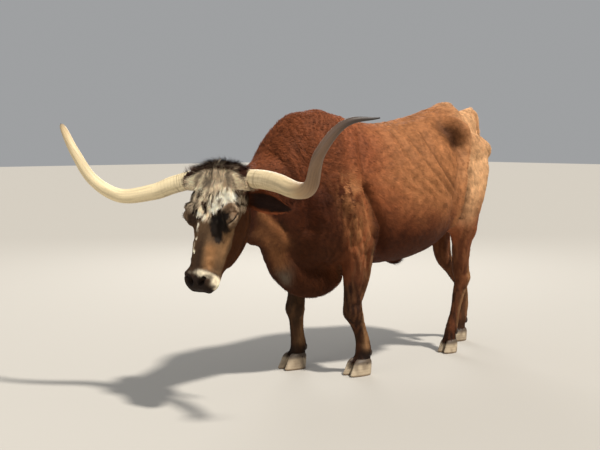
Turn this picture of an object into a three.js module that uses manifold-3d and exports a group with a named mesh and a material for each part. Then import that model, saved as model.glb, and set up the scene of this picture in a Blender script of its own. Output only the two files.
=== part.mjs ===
// A life-size steer of a long-horned cattle breed, standing with its head low and turned to its left.
// Millimetres. The animal faces -Y, its left side is +X and its soles stand on z = 0.
import * as THREE from 'three';
import { mergeVertices } from 'three/addons/utils/BufferGeometryUtils.js';
import Module from 'manifold-3d';

const wasm = await Module();
wasm.setup();

// Driving sizes
const gap = 0.3; // between neighbouring pieces
const humpHeight = 1419; // highest point over the shoulders
const sacrumHeight = 1474; // highest point over the hips
const chestFloor = 563; // underline from the elbows to the navel
const elbowHeight = 600;
const kneeHeight = 330;
const hockHeight = 400;
const coronetHeight = 70; // where hair meets hoof
const foreTrack = 166; // from the midline to each fore foot
const hindTrack = 98;
const hindPlace = 1038; // hind feet behind the fore ones, were each pair square
const eyeRadius = 21;
const hornRoot = 172; // from the middle of the poll to where each horn starts under the hair

// The middle of the poll, how far the head turns left of the body and how steeply the face hangs
const pollCentre = new THREE.Vector3(287, -883, 1065);
const headTurn = THREE.MathUtils.degToRad(18);
const faceHang = THREE.MathUtils.degToRad(23);

const left = new THREE.Vector3(1, 0, 0);
const up = new THREE.Vector3(0, 0, 1);
const down = new THREE.Vector3(0, 0, -1);
const ahead = new THREE.Vector3(0, -1, 0);
const behind = new THREE.Vector3(0, 1, 0);

// Two frames at the poll. The face's own has x to the head's left, y out of the forehead and z down the face;
// the level one has x to the head's left, y backwards and z up.
const facing = new THREE.Vector3(Math.sin(headTurn), -Math.cos(headTurn), 0);
const headLeft = new THREE.Vector3(Math.cos(headTurn), Math.sin(headTurn), 0);
const outOfFace = facing.clone().multiplyScalar(Math.cos(faceHang)).addScaledVector(up, Math.sin(faceHang));
const downFace = facing.clone().multiplyScalar(Math.sin(faceHang)).addScaledVector(up, -Math.cos(faceHang));
const inFace = new THREE.Matrix4().makeBasis(headLeft, outOfFace, downFace).setPosition(pollCentre);
const inPoll = new THREE.Matrix4().makeBasis(headLeft, facing.clone().negate(), up).setPosition(pollCentre);

const hide = new THREE.MeshStandardMaterial({ color: 0x96552c, roughness: 0.85, metalness: 0 });
const darkHide = new THREE.MeshStandardMaterial({ color: 0x3b2a20, roughness: 0.85, metalness: 0 });
const hornSheath = new THREE.MeshStandardMaterial({ color: 0xe6d9ae, roughness: 0.4, metalness: 0 });
const hoofHorn = new THREE.MeshStandardMaterial({ color: 0xb8ab92, roughness: 0.6, metalness: 0 });
const eyeDark = new THREE.MeshStandardMaterial({ color: 0x1b120c, roughness: 0.08, metalness: 0 });

const hands = { left: 1, right: -1 };

// A unit circle's coordinate raised to that of a superellipse of the given fullness
function bow(value, fullness) {
  return Math.sign(value) * Math.abs(value) ** (2 / fullness);
}

// A closed form carried along a path. Each station is [x, y, z, half breadth, reach over, reach under], read as
// smooth curves. The rings stand square to the path, or to the level direction where one is given.
function loft(stations, { around, along, over, level = null, fullness = [2, 2], grow = 0 }) {
  const smooth = (pick) => new THREE.CatmullRomCurve3(stations.map(pick), false, 'catmullrom');
  const centres = smooth((s) => new THREE.Vector3(s[0], s[1], s[2]));
  const reaches = smooth((s) => new THREE.Vector3(s[3], s[4], s[5]));
  const geometry = new THREE.CylinderGeometry(1, 1, 1, around, along);
  const corners = geometry.attributes.position;
  const corner = new THREE.Vector3();
  const side = new THREE.Vector3();
  const rise = new THREE.Vector3();
  for (let i = 0; i < corners.count; i += 1) {
    corner.fromBufferAttribute(corners, i);
    const t = THREE.MathUtils.clamp(0.5 - corner.y, 0, 1);
    const reach = reaches.getPoint(t).addScalar(grow);
    const direction = level ?? centres.getTangent(t);
    side.crossVectors(over, direction).normalize();
    rise.crossVectors(direction, side);
    const upper = corner.z > 0;
    const full = fullness[upper ? 0 : 1];
    const place = centres
      .getPoint(t)
      .addScaledVector(side, bow(corner.x, full) * reach.x)
      .addScaledVector(rise, bow(corner.z, full) * (upper ? reach.y : reach.z));
    corners.setXYZ(i, place.x, place.y, place.z);
  }
  return geometry;
}

// An egg with half sizes along x, y and z about a centre
function egg(centre, half, around, along) {
  const geometry = new THREE.SphereGeometry(1, around, along);
  geometry.scale(...half);
  geometry.translate(...centre);
  return geometry;
}

// A closed mesh as a solid that can be joined and cut
function solid(geometry) {
  geometry.deleteAttribute('normal');
  geometry.deleteAttribute('uv');
  const closed = mergeVertices(geometry, 0.01);
  return new wasm.Manifold(
    new wasm.Mesh({
      numProp: 3,
      vertProperties: new Float32Array(closed.attributes.position.array),
      triVerts: new Uint32Array(closed.index.array),
    }),
  );
}

function joined(solids) {
  return solids.reduce((whole, next) => whole.add(next));
}

// Trunk and neck

// Chest to tail head: y, height of the spine, of the underline, half breadth, height of the widest line
const trunkStations = [
  [-345, 1020, 680, 90, 840],
  [-310, 1190, 625, 150, 840],
  [-215, 1352, 590, 215, 845],
  [-110, humpHeight, 575, 250, 850],
  [20, 1396, chestFloor, 268, 870],
  [150, 1362, chestFloor, 292, 880],
  [290, 1346, chestFloor, 338, 875],
  [430, 1350, 568, 360, 880],
  [570, 1378, 590, 350, 905],
  [700, 1410, 632, 312, 950],
  [820, 1446, 692, 262, 1010],
  [915, sacrumHeight, 740, 228, 1060],
  [985, 1426, 770, 184, 1080],
  [1050, 1432, 795, 140, 1100],
  [1110, 1436, 840, 100, 1130],
  [1150, 1394, 900, 78, 1150],
  [1172, 1300, 960, 50, 1150],
];

// Chest to skull
const neckStations = [
  [0, 60, 1000, 200, 340, 360],
  [0, -120, 985, 215, 425, 400],
  [10, -285, 955, 192, 368, 352],
  [52, -435, 935, 155, 262, 240],
  [118, -590, 945, 130, 195, 190],
  [200, -745, 985, 114, 145, 175],
  [240, -830, 1010, 92, 105, 150],
];

// Loose skin from throat to brisket
const dewlapStations = [
  [205, -720, 856, 24, 60, 60],
  [140, -600, 812, 42, 80, 72],
  [80, -480, 786, 55, 90, 78],
  [28, -370, 714, 76, 100, 98],
  [0, -260, 600, 98, 110, 108],
  [0, -140, 540, 104, 110, 122],
  [0, -30, 540, 102, 100, 112],
  [0, 55, 602, 84, 70, 94],
  [0, 112, 622, 60, 50, 64],
];

const sheathStations = [
  [0, 400, 600, 20, 20, 18],
  [0, 440, 592, 34, 30, 34],
  [0, 510, 590, 40, 30, 42],
  [0, 580, 612, 36, 30, 34],
  [0, 660, 650, 22, 22, 20],
];

function trunk() {
  const stations = trunkStations.map(([y, top, bottom, half, widest]) => {
    return [0, y, widest, half, top - widest, widest - bottom];
  });
  return [
    loft(stations, { around: 18, along: 22, over: up, level: behind, fullness: [2, 2.1] }),
    loft(neckStations, { around: 12, along: 8, over: up }),
    loft(dewlapStations, { around: 8, along: 10, over: up }),
    loft(sheathStations, { around: 8, along: 6, over: up }),
  ];
}

// The left hook, the point of the hip, from the spine outwards, and the bone that runs back from it to the left pin
const hookStations = [
  [40, 866, 1350, 60, 50, 70],
  [100, 842, 1342, 76, 58, 80],
  [155, 820, 1322, 86, 62, 84],
  [205, 804, 1300, 86, 60, 78],
  [243, 798, 1286, 66, 42, 56],
  [266, 796, 1278, 22, 14, 20],
];
const pinStations = [
  [196, 815, 1270, 60, 60, 70],
  [186, 880, 1252, 58, 70, 90],
  [170, 950, 1228, 60, 80, 100],
  [150, 1015, 1210, 62, 84, 100],
  [130, 1080, 1196, 58, 80, 90],
  [108, 1145, 1184, 46, 66, 70],
  [94, 1190, 1170, 16, 20, 24],
];

function hipPoints() {
  const shape = { around: 8, along: 5, over: up };
  return [1, -1].flatMap((hand) =>
    [hookStations, pinStations].map((stations) =>
      loft(
        stations.map(([x, ...others]) => [hand * x, ...others]),
        shape,
      ),
    ),
  );
}

// Limbs of the left side, top to bottom: x, y from the pair's place, z, half breadth, reach ahead and behind
const foreLimb = [
  [140, -40, 1130, 60, 90, 90],
  [170, -40, 980, 90, 140, 125],
  [180, -25, 800, 94, 138, 128],
  [184, 0, 660, 78, 112, 110],
  [180, 0, 520, 62, 84, 84],
  [171, 0, 410, 50, 64, 58],
  [foreTrack + 2, 2, kneeHeight, 52, 66, 56],
  [foreTrack, 4, 272, 38, 46, 50],
  [foreTrack, 8, 200, 34, 40, 50],
  [foreTrack, 20, 130, 42, 46, 52],
  [foreTrack, 14, 94, 43, 50, 50],
  [foreTrack, 0, coronetHeight, 56, 66, 62],
];

const hindLimb = [
  [110, 2, 1230, 44, 110, 90],
  [145, -3, 1080, 76, 150, 120],
  [156, -52, 930, 84, 160, 135],
  [150, -52, 790, 74, 135, 118],
  [134, -30, 660, 52, 88, 96],
  [120, -5, 530, 45, 72, 72],
  [hindTrack + 8, 19, hockHeight + 15, 40, 58, 64],
  [hindTrack + 6, 14, 335, 31, 43, 48],
  [hindTrack + 2, 2, 240, 28, 37, 40],
  [hindTrack, -28, 140, 36, 42, 44],
  [hindTrack, -40, 96, 35, 42, 40],
  [hindTrack, -45, coronetHeight - 8, 44, 50, 46],
];

// How far back each foot stands, and how far forward the limb gives about a height, fading above and below it
const limbs = [
  { name: 'fore', hand: 'left', stations: foreLimb, stride: 100, give: [52, 330, 170, 72] },
  { name: 'fore', hand: 'right', stations: foreLimb, stride: -80, give: [-22, 500, 140, 110] },
  { name: 'hind', hand: 'left', stations: hindLimb, stride: -118, give: [-14, 390, 90, 60] },
  { name: 'hind', hand: 'right', stations: hindLimb, stride: 190, give: [115, 500, 230, 150] },
];
const feet = {
  fore: { place: 0, broad: 27, toe: 88, heel: 52 },
  hind: { place: hindPlace, broad: 22, toe: 60, heel: 42 },
};

// A step moves the foot in full, and the limb above it less and less towards its top
function stepped({ name, hand, stations, stride, give: [amount, height, above, below] }) {
  const top = stations[0][2];
  return stations.map(([x, y, z, ...reaches]) => {
    const share = Math.min(1, (top - z) / (top - kneeHeight)) ** 1.2;
    const away = (z - height) / (z > height ? above : below);
    const back = feet[name].place + stride * share - amount * Math.exp(-(away ** 2));
    return [x * hands[hand], y + back, z, ...reaches];
  });
}

function limbForm(limb) {
  return loft(stepped(limb), { around: 9, along: 14, over: ahead, level: down });
}

// One claw of a cloven hoof, its sole flat on the floor
function claw(limb, side) {
  const [x, y, coronet] = stepped(limb).at(-1);
  const { broad, toe, heel } = feet[limb.name];
  const stations = [
    [x + side * broad, y - 2, coronet - gap, broad - 0.5, toe * 0.7, heel],
    [x + side * (broad + 1.5), y - 5, coronet * 0.5, broad + 1, toe * 0.87, heel],
    [x + side * (broad + 3), y - 8, 0, broad + 2, toe, heel - 2],
  ];
  return loft(stations, { around: 10, along: 2, over: ahead, level: down, fullness: [1.7, 2.3] });
}

// The small claw that hangs behind the fetlock
function dewclaw(limb, side, grow = 0) {
  const [x, y, z] = stepped(limb).at(-3);
  const { broad } = feet[limb.name];
  const middle = [x + side * broad * 0.78, y + limb.stations.at(-3)[5] * 0.76, z - 16];
  return egg(middle, [broad * 0.5, 13, 24].map((half) => half + grow), 6, 4);
}

// Tail, hanging in the cleft between the thighs and tucked a little forwards below them
const tailStations = [
  [0, 1040, 1402, 30, 24, 24],
  [0, 1122, 1421, 32, 29, 29],
  [0, 1174, 1396, 29, 27, 27],
  [0, 1196, 1325, 25, 24, 24],
  [0, 1204, 1210, 22, 22, 22],
  [0, 1203, 1110, 20, 20, 20],
  [0, 1199, 1000, 19, 19, 19],
  [-1, 1178, 900, 18, 18, 18],
  [-2, 1146, 800, 17, 17, 17],
  [-4, 1098, 640, 16, 16, 16],
];
const switchStations = [
  [-4, 1112, 690, 17, 17, 17],
  [-4, 1092, 620, 26, 26, 26],
  [-4, 1070, 540, 32, 30, 30],
  [-4, 1052, 460, 27, 26, 26],
  [-4, 1042, 390, 9, 9, 9],
];

function tail() {
  return [
    loft(tailStations, { around: 8, along: 10, over: behind }),
    loft(switchStations, { around: 8, along: 6, over: behind }),
  ];
}

// Head

// Down the face: z, y of the widest line, half breadth, reach to the forehead, reach to the jaw
const headStations = [
  [-60, -30, 60, 24, 40],
  [-38, -28, 104, 48, 70],
  [5, -26, 128, 62, 120],
  [70, -24, 137, 66, 165],
  [135, -32, 132, 70, 198],
  [200, -50, 113, 80, 200],
  [265, -66, 93, 92, 172],
  [330, -64, 77, 88, 142],
  [390, -56, 72, 70, 99],
  [438, -50, 80, 54, 80],
  [476, -48, 80, 44, 62],
  [505, -52, 55, 28, 40],
];
const orbit = new THREE.Vector3(104, -8, 156);
const eyePlace = new THREE.Vector3(124, 4, 170);

function head() {
  const stations = headStations.map(([z, y, ...reaches]) => [0, y, z, ...reaches]);
  const forms = [loft(stations, { around: 12, along: 14, over: behind, level: up, fullness: [2.6, 2.1] })];
  for (const hand of [1, -1]) {
    forms.push(egg([hand * orbit.x, orbit.y, orbit.z], [43, 46, 64], 8, 5));
  }
  return forms.map((form) => form.applyMatrix4(inFace));
}

// Out along the horn from its root, in the level frame: out, back, up, then the horn's half thicknesses
const hornStations = {
  left: [
    [hornRoot, 2, 14, 42, 42, 42],
    [260, -18, 12, 42, 42, 42],
    [354, -46, 0, 41, 41, 41],
    [496, -111, -24, 36, 36, 36],
    [608, -186, 2, 30, 30, 30],
    [679, -232, 133, 23, 23, 23],
    [778, -205, 249, 16, 16, 16],
    [883, -116, 271, 3, 3, 3],
  ],
  right: [
    [hornRoot, 2, 0, 42, 42, 42],
    [260, -18, -24, 41, 41, 41],
    [353, -52, -58, 38, 38, 38],
    [493, -124, -76, 33, 33, 33],
    [601, -191, -2, 28, 28, 28],
    [682, -225, 126, 23, 23, 23],
    [775, -204, 234, 16, 16, 16],
    [889, -116, 263, 3, 3, 3],
  ],
};

function horn(hand, grow = 0) {
  const stations = hornStations[hand].map(([out, ...rest]) => [out * hands[hand], ...rest]);
  stations[0][0] -= grow * hands[hand];
  return loft(stations, { around: 8, along: 15, over: up, grow }).applyMatrix4(inPoll);
}

// The haired swelling that each horn grows from, and how far out its hair ends
const hairEdge = { left: 203, right: 184 };

function hornCollar(hand) {
  const flip = hands[hand];
  const end = hairEdge[hand];
  const tilt = hornStations[hand][0][2];
  const stations = [
    [60 * flip, 12, 8, 62, 62, 62],
    [120 * flip, 6, 8, 58, 58, 58],
    [(end - 28) * flip, 0, tilt, 53, 53, 53],
    [end * flip, -6, tilt, 49, 49, 49],
  ];
  return loft(stations, { around: 10, along: 2, over: up }).applyMatrix4(inPoll);
}

// Hair heaped over the poll, from horn to horn
const tuftStations = [
  [-165, 4, 20, 28, 26, 26],
  [-115, 4, 36, 40, 38, 40],
  [-55, 2, 54, 50, 50, 50],
  [0, 0, 62, 54, 58, 50],
  [55, 2, 58, 50, 52, 50],
  [115, 4, 42, 40, 40, 40],
  [165, 4, 24, 28, 28, 26],
];

function tuft() {
  return loft(tuftStations, { around: 8, along: 5, over: up }).applyMatrix4(inPoll);
}

// The ears, thin leaves with the hollow side forward: out, back, up, half breadth, thickness before and behind.
// The left one is held out sideways, the right one laid back.
const earStations = {
  left: [
    [80, 40, -66, 28, 16, 16],
    [128, 58, -78, 38, 12, 13],
    [190, 64, -88, 50, 8, 9],
    [255, 68, -103, 44, 6, 7],
    [305, 72, -115, 26, 5, 5],
    [332, 74, -120, 8, 4, 4],
  ],
  right: [
    [80, 34, -66, 28, 16, 16],
    [135, 62, -78, 38, 12, 13],
    [182, 104, -90, 50, 8, 9],
    [212, 152, -104, 44, 6, 7],
    [230, 198, -116, 26, 5, 5],
    [238, 226, -122, 8, 4, 4],
  ],
};

function ear(hand) {
  const stations = earStations[hand].map(([out, ...rest]) => [out * hands[hand], ...rest]);
  return loft(stations, { around: 8, along: 6, over: behind }).applyMatrix4(inPoll);
}

// Thin walls that part the flesh where a person would name its pieces: middle, way it faces, its two sides
function slit(middle, way, wide, tall, frame = new THREE.Matrix4()) {
  const geometry = new THREE.BoxGeometry(wide, tall, gap);
  const turn = new THREE.Quaternion().setFromUnitVectors(up, way.clone().normalize());
  geometry.applyQuaternion(turn);
  geometry.translate(...middle);
  geometry.applyMatrix4(frame);
  return solid(geometry);
}

const neckCut = -290;
const shoulderCut = 166;
const jawTop = -95;
const flankCut = 790;
const shoulderInner = 108;
const thighInner = 62;
const thighTop = 1130;
const gaskinTop = 640;

function slits() {
  const walls = [
    slit([40, 130, -60], behind, 436, 600, inPoll),
    slit([0, jawTop + 100, 412], up, 300, 200.5, inFace),
    slit([0, jawTop, 320], behind, 320, 440.5, inFace),
    slit([0, jawTop - 70, 100], up, 320, 140.5, inFace),
    slit([0, 0, 62], up, 420, 190, inPoll),
    slit([8, neckCut, 900], behind, 700, 1200),
    slit([0, shoulderCut, 900], behind, 900, 1200),
    slit([0, flankCut, 1000], behind, 900, 1200),
    slit([0, 1204, 1322], new THREE.Vector3(0, -0.1, 1), 80, 70),
    slit([-4, 1098, 640], up, 80, 70),
  ];
  for (const flip of [1, -1]) {
    walls.push(slit([flip * 150, 68, -84], left, 116, 72, inPoll));
    walls.push(slit([flip * shoulderInner, (neckCut + shoulderCut) / 2, 910], left, 980, shoulderCut - neckCut));
    walls.push(slit([flip * (shoulderInner + 120), 0, elbowHeight], up, 240, 420));
    walls.push(slit([flip * thighInner, 985, 900], left, 460.5, 400));
    walls.push(slit([flip * (thighInner + 120), 985, thighTop], up, 240.5, 440));
  }
  for (const limb of limbs) {
    const middles = limb.name === 'fore' ? [300, 150] : [gaskinTop, 372, 150];
    const path = stepped(limb);
    for (const height of middles) {
      const near = path.reduce((a, b) => (Math.abs(b[2] - height) < Math.abs(a[2] - height) ? b : a));
      walls.push(slit([near[0], near[1], height], up, 180, 210));
    }
  }
  return walls;
}

// Where each piece of the flesh has its middle, which tells the parted pieces from one another
function fleshNames() {
  const inWorld = (x, y, z, frame) => new THREE.Vector3(x, y, z).applyMatrix4(frame);
  const names = [
    ['head', inWorld(0, -40, 210, inFace)],
    ['poll_tuft', inWorld(0, 0, 100, inPoll)],
    ['muzzle', inWorld(0, -30, 460, inFace)],
    ['jaw', inWorld(0, -155, 300, inFace)],
    ['ear_left', inWorld(225, 60, -98, inPoll)],
    ['ear_right', inWorld(-165, 140, -98, inPoll)],
    ['neck', new THREE.Vector3(70, -500, 930)],
    ['chest', new THREE.Vector3(0, -70, 900)],
    ['shoulder_left', new THREE.Vector3(190, -70, 900)],
    ['shoulder_right', new THREE.Vector3(-190, -70, 900)],
    ['barrel', new THREE.Vector3(0, 470, 980)],
    ['rump', new THREE.Vector3(0, 1000, 1200)],
    ['thigh_left', new THREE.Vector3(150, 960, 880)],
    ['thigh_right', new THREE.Vector3(-150, 1030, 880)],
    ['tail', new THREE.Vector3(0, 1160, 985)],
    ['tail_switch', new THREE.Vector3(-4, 1072, 512)],
  ];
  for (const limb of limbs) {
    const path = stepped(limb);
    const lengths =
      limb.name === 'fore'
        ? [['forearm', 450], ['fore_cannon', 225], ['fore_pastern', 104]]
        : [['gaskin', 506], ['hind_cannon', 261], ['hind_pastern', 104]];
    for (const [name, height] of lengths) {
      const near = path.reduce((a, b) => (Math.abs(b[2] - height) < Math.abs(a[2] - height) ? b : a));
      names.push([`${name}_${limb.hand}`, new THREE.Vector3(near[0], near[1], height)]);
    }
  }
  return names;
}

const steer = new THREE.Group();

function add(name, shape, material) {
  const { vertProperties, triVerts } = shape.getMesh();
  const geometry = new THREE.BufferGeometry();
  geometry.setAttribute('position', new THREE.BufferAttribute(new Float32Array(vertProperties), 3));
  geometry.setIndex(new THREE.BufferAttribute(new Uint32Array(triVerts), 1));
  const mesh = new THREE.Mesh(geometry, material);
  mesh.name = name;
  steer.add(mesh);
}

function middleOf(shape) {
  const { min, max } = shape.boundingBox();
  return new THREE.Vector3(...min).add(new THREE.Vector3(...max)).multiplyScalar(0.5);
}

const handNames = Object.keys(hands);
const eyes = handNames.map((hand) => {
  const middle = new THREE.Vector3(eyePlace.x * hands[hand], eyePlace.y, eyePlace.z).applyMatrix4(inFace);
  return { hand, middle };
});

const fleshForms = [
  ...trunk(),
  ...hipPoints(),
  ...limbs.map(limbForm),
  ...tail(),
  ...head(),
  tuft(),
  ...handNames.map(hornCollar),
  ...handNames.map(ear),
];
const sockets = eyes.map(({ middle }) => {
  const round = eyeRadius + gap;
  return egg(middle, [round, round, round], 8, 5);
});
const clawPlaces = limbs.flatMap((limb) => [
  [limb, 'outer', hands[limb.hand]],
  [limb, 'inner', -hands[limb.hand]],
]);
const hollows = [
  ...handNames.map((hand) => horn(hand, gap)),
  ...sockets,
  ...clawPlaces.map(([limb, , side]) => dewclaw(limb, side, gap)),
];
const flesh = joined(fleshForms.map(solid)).subtract(joined(hollows.map(solid)));
const pieces = flesh.subtract(joined(slits())).decompose();

for (const piece of pieces) {
  const middle = middleOf(piece);
  const [name] = fleshNames().reduce((a, b) => (b[1].distanceTo(middle) < a[1].distanceTo(middle) ? b : a));
  add(name, piece, /cannon|pastern|muzzle|tuft|switch/.test(name) ? darkHide : hide);
}

for (const hand of handNames) {
  add(`horn_${hand}`, solid(horn(hand)), hornSheath);
}
for (const { hand, middle } of eyes) {
  add(`eye_${hand}`, solid(egg(middle, [eyeRadius, eyeRadius, eyeRadius], 8, 5)), eyeDark);
}
for (const [limb, place, side] of clawPlaces) {
  const foot = `${limb.name}_${limb.hand}`;
  add(`${foot}_claw_${place}`, solid(claw(limb, side)), hoofHorn);
  add(`${foot}_dewclaw_${place}`, solid(dewclaw(limb, side)), hoofHorn);
}

// The origin is the middle of the whole animal's box, on the floor
const box = new THREE.Box3().setFromObject(steer);
const middle = box.getCenter(new THREE.Vector3());
steer.position.set(-middle.x, -middle.y, 0);

export default steer;
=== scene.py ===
import math
import bmesh
import bpy
import mathutils
import numpy as np
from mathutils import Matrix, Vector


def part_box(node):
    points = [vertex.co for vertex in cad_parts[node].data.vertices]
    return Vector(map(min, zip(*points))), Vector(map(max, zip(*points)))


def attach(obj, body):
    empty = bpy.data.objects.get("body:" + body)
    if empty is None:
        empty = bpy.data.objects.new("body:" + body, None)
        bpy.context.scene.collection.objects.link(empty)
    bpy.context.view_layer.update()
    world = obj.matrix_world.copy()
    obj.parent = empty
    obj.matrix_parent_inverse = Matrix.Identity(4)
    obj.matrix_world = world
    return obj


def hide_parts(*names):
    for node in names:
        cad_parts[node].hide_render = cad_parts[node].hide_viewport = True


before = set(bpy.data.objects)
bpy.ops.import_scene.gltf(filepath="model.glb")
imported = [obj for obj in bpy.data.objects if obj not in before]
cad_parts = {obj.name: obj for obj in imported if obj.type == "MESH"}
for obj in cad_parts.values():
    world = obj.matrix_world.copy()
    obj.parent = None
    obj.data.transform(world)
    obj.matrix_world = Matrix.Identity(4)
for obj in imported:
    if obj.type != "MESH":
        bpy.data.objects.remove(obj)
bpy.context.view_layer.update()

# Everything below is worked out in the animal's own place: metres, midline x = 0, fore feet near y = 0,
# floor z = 0, the trunk facing -Y and its left side +X. home carries it into the frame.
pollCentre = np.array([0.287, -0.883, 1.065])
headTurn = math.radians(18)
faceHang = math.radians(23)
eyeRadius = 0.021
eyePlace = np.array([0.124, 0.004, 0.170])
kneeHeight = 0.330
coatDepth = 0.007
hands = {"left": 1, "right": -1}

up = np.array([0.0, 0.0, 1.0])
back = np.array([0.0, 1.0, 0.0])
ahead = np.array([0.0, -1.0, 0.0])
facing = np.array([math.sin(headTurn), -math.cos(headTurn), 0.0])
headLeft = np.array([math.cos(headTurn), math.sin(headTurn), 0.0])
outOfFace = facing * math.cos(faceHang) + up * math.sin(faceHang)
downFace = facing * math.sin(faceHang) - up * math.cos(faceHang)
faceAxes = np.array([headLeft, outOfFace, downFace])
pollAxes = np.array([headLeft, -facing, up])


# The face's own places run left, out of the forehead and down the face; the poll's run left, back and up
def fromFace(points):
    return np.asarray(points, float) @ faceAxes + pollCentre


def toFace(points):
    return (np.asarray(points, float) - pollCentre) @ faceAxes.T


def fromPoll(points):
    return np.asarray(points, float) @ pollAxes + pollCentre


def toPoll(points):
    return (np.asarray(points, float) - pollCentre) @ pollAxes.T


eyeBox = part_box("eye_left")
home = (np.array(eyeBox[0]) + np.array(eyeBox[1])) / 2 - fromFace(eyePlace)


# Tools for numbers

def unit(vectors):
    return vectors / np.maximum(np.linalg.norm(vectors, axis=-1, keepdims=True), 1e-12)


# A soft step from 0 at low to 1 at high
def ease(low, high, values):
    share = np.clip((values - low) / (high - low), 0, 1)
    return share * share * (3 - 2 * share)


# A bell of height 1 about a middle
def bell(values, middle, width):
    return np.exp(-(((values - middle) / width) ** 2))


def mirrored(points):
    return np.column_stack([np.abs(points[:, 0]), points[:, 1:]])


def handed(rows, side):
    rows = np.array(rows, float)
    rows[..., 0] *= side
    return rows


# Rows of numbers read as smooth curves, each piece a cubic through two rows with its ends' slopes set by the
# rows before and after
def curve(rows, t):
    rows = np.asarray(rows, float)
    padded = np.vstack([2 * rows[0] - rows[1], rows, 2 * rows[-1] - rows[-2]])
    place = np.clip(t, 0, 1) * (len(rows) - 1)
    i = np.minimum(place.astype(int), len(rows) - 2)
    f = (place - i)[:, None]
    a, b, c, d = (padded[i + k] for k in range(4))
    return 0.5 * (2 * b + (c - a) * f + (2 * a - 5 * b + 4 * c - d) * f**2 + (3 * b - a - 3 * c + d) * f**3)


# Stations read at the shares t, with the directions along, across and over the line there
def carried(stations, t, over, level=None, step=0.001):
    tangent = unit(curve(stations, t + step)[:, :3] - curve(stations, t - step)[:, :3])
    if level is not None:
        tangent = np.tile(level, (len(t), 1))
    side = unit(np.cross(over, tangent))
    return curve(stations, t), tangent, side, np.cross(tangent, side)


# Soft random values between 0 and 1: corner values of a lattice, blended smoothly between corners
def cloud(points, grain, seed=0):
    q = points / np.asarray(grain, float) + 37.7 * (seed + 1)
    cell = np.floor(q).astype(np.int64)
    f = q - cell
    f = f * f * (3 - 2 * f)
    total = np.zeros(len(points))
    for dx in (0, 1):
        for dy in (0, 1):
            for dz in (0, 1):
                x, y, z = cell[:, 0] + dx, cell[:, 1] + dy, cell[:, 2] + dz
                mixed = (x * 374761393 + y * 668265263 + z * 1440662683 + seed * 97531) & 0x7FFFFFFF
                mixed = ((mixed ^ (mixed >> 13)) * 1274126177) & 0x7FFFFFFF
                value = ((mixed ^ (mixed >> 16)) & 0xFFFF) / 65535
                weight = (f[:, 0] if dx else 1 - f[:, 0]) * (f[:, 1] if dy else 1 - f[:, 1])
                total += value * weight * (f[:, 2] if dz else 1 - f[:, 2])
    return total


# The same for a grid of points
def gridCloud(grid, grain, seed):
    return cloud(grid.reshape(-1, 3), grain, seed).reshape(grid.shape[:-1])


# Nearness to a path of straight stretches: 1 on it, falling off as a bell of the given width
def nearPath(points, path, width):
    path = np.asarray(path, float)
    best = np.full(len(points), 1e9)
    for start, end in zip(path[:-1], path[1:]):
        along = end - start
        share = np.clip((points - start) @ along / (along @ along), 0, 1)
        best = np.minimum(best, ((points - start - share[:, None] * along) ** 2).sum(1))
    return np.exp(-best / width**2)


def nearAny(points, paths):
    return np.max([nearPath(points, path, width) for path, width in paths], 0)


def nearSpot(points, centre, reach):
    return np.exp(-(((points - np.asarray(centre)) / np.asarray(reach)) ** 2).sum(1))


# Raised and sunken forms added up: each a path, a width and a height
def reliefOf(points, forms):
    return sum(height * nearPath(points, path, width) for path, width, height in forms)


# Tools for meshes

# Rings carried along a path of stations (x, y, z, half breadth, reach over, reach under)
def rings(stations, along, around, over, level=None, fullness=(2, 2)):
    rows, _, side, rise = carried(stations, np.linspace(0, 1, along + 1), over, level)
    angle = np.linspace(0, 2 * math.pi, around, endpoint=False)
    across, high = np.sin(angle), np.cos(angle)
    reach = np.maximum(rows[:, 3:6], 0.001)
    full = np.where(high > 0, fullness[0], fullness[1])
    tall = np.where(high > 0, reach[:, 1:2], reach[:, 2:3])
    across = np.sign(across) * np.abs(across) ** (2 / full)
    high = np.sign(high) * np.abs(high) ** (2 / full)
    broad = side[:, None] * (reach[:, 0:1] * across)[..., None]
    return rows[:, None, :3] + broad + rise[:, None] * (tall * high)[..., None]


def egg(centre, half, around=24, along=16):
    a = np.linspace(0, 2 * math.pi, around, endpoint=False)
    b = np.linspace(0.001, math.pi - 0.001, along + 1)[:, None]
    ball = np.stack([np.sin(b) * np.cos(a), np.sin(b) * np.sin(a), np.cos(b) + 0 * a], -1)
    return np.asarray(centre) + ball * np.asarray(half)


# A grid of rings as points and four-sided faces, its open ends drawn in to a middle point
def closedGrid(grid):
    ends = [np.repeat(ring.mean(0)[None], len(ring), 0) for ring in (grid[0], grid[-1])]
    whole = np.concatenate([ends[0][None], grid, ends[1][None]])
    rows, count = whole.shape[:2]
    i = np.arange(rows - 1)[:, None] * count
    j = np.arange(count)
    k = (j + 1) % count
    quads = np.stack([i + j, i + count + j, i + count + k, i + k], -1).reshape(-1, 4)
    return whole.reshape(-1, 3), quads


def stack(parts):
    offset = np.cumsum([0] + [len(points) for points, _ in parts])
    points = np.concatenate([points for points, _ in parts])
    return points, np.concatenate([faces + start for (_, faces), start in zip(parts, offset)])


def meshOf(name, points, faces):
    mesh = bpy.data.meshes.new(name)
    count, sides = faces.shape
    mesh.vertices.add(len(points))
    mesh.loops.add(count * sides)
    mesh.loops.foreach_set("vertex_index", np.ascontiguousarray(faces, np.int32).ravel())
    mesh.polygons.add(count)
    mesh.polygons.foreach_set("loop_start", np.arange(0, count * sides, sides, dtype=np.int32))
    mesh.vertices.foreach_set("co", np.ascontiguousarray(points, np.float32).ravel())
    mesh.update(calc_edges=True)
    return mesh


def movePoints(mesh, points):
    mesh.vertices.foreach_set("co", np.ascontiguousarray(points, np.float32).ravel())
    mesh.update()


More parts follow.
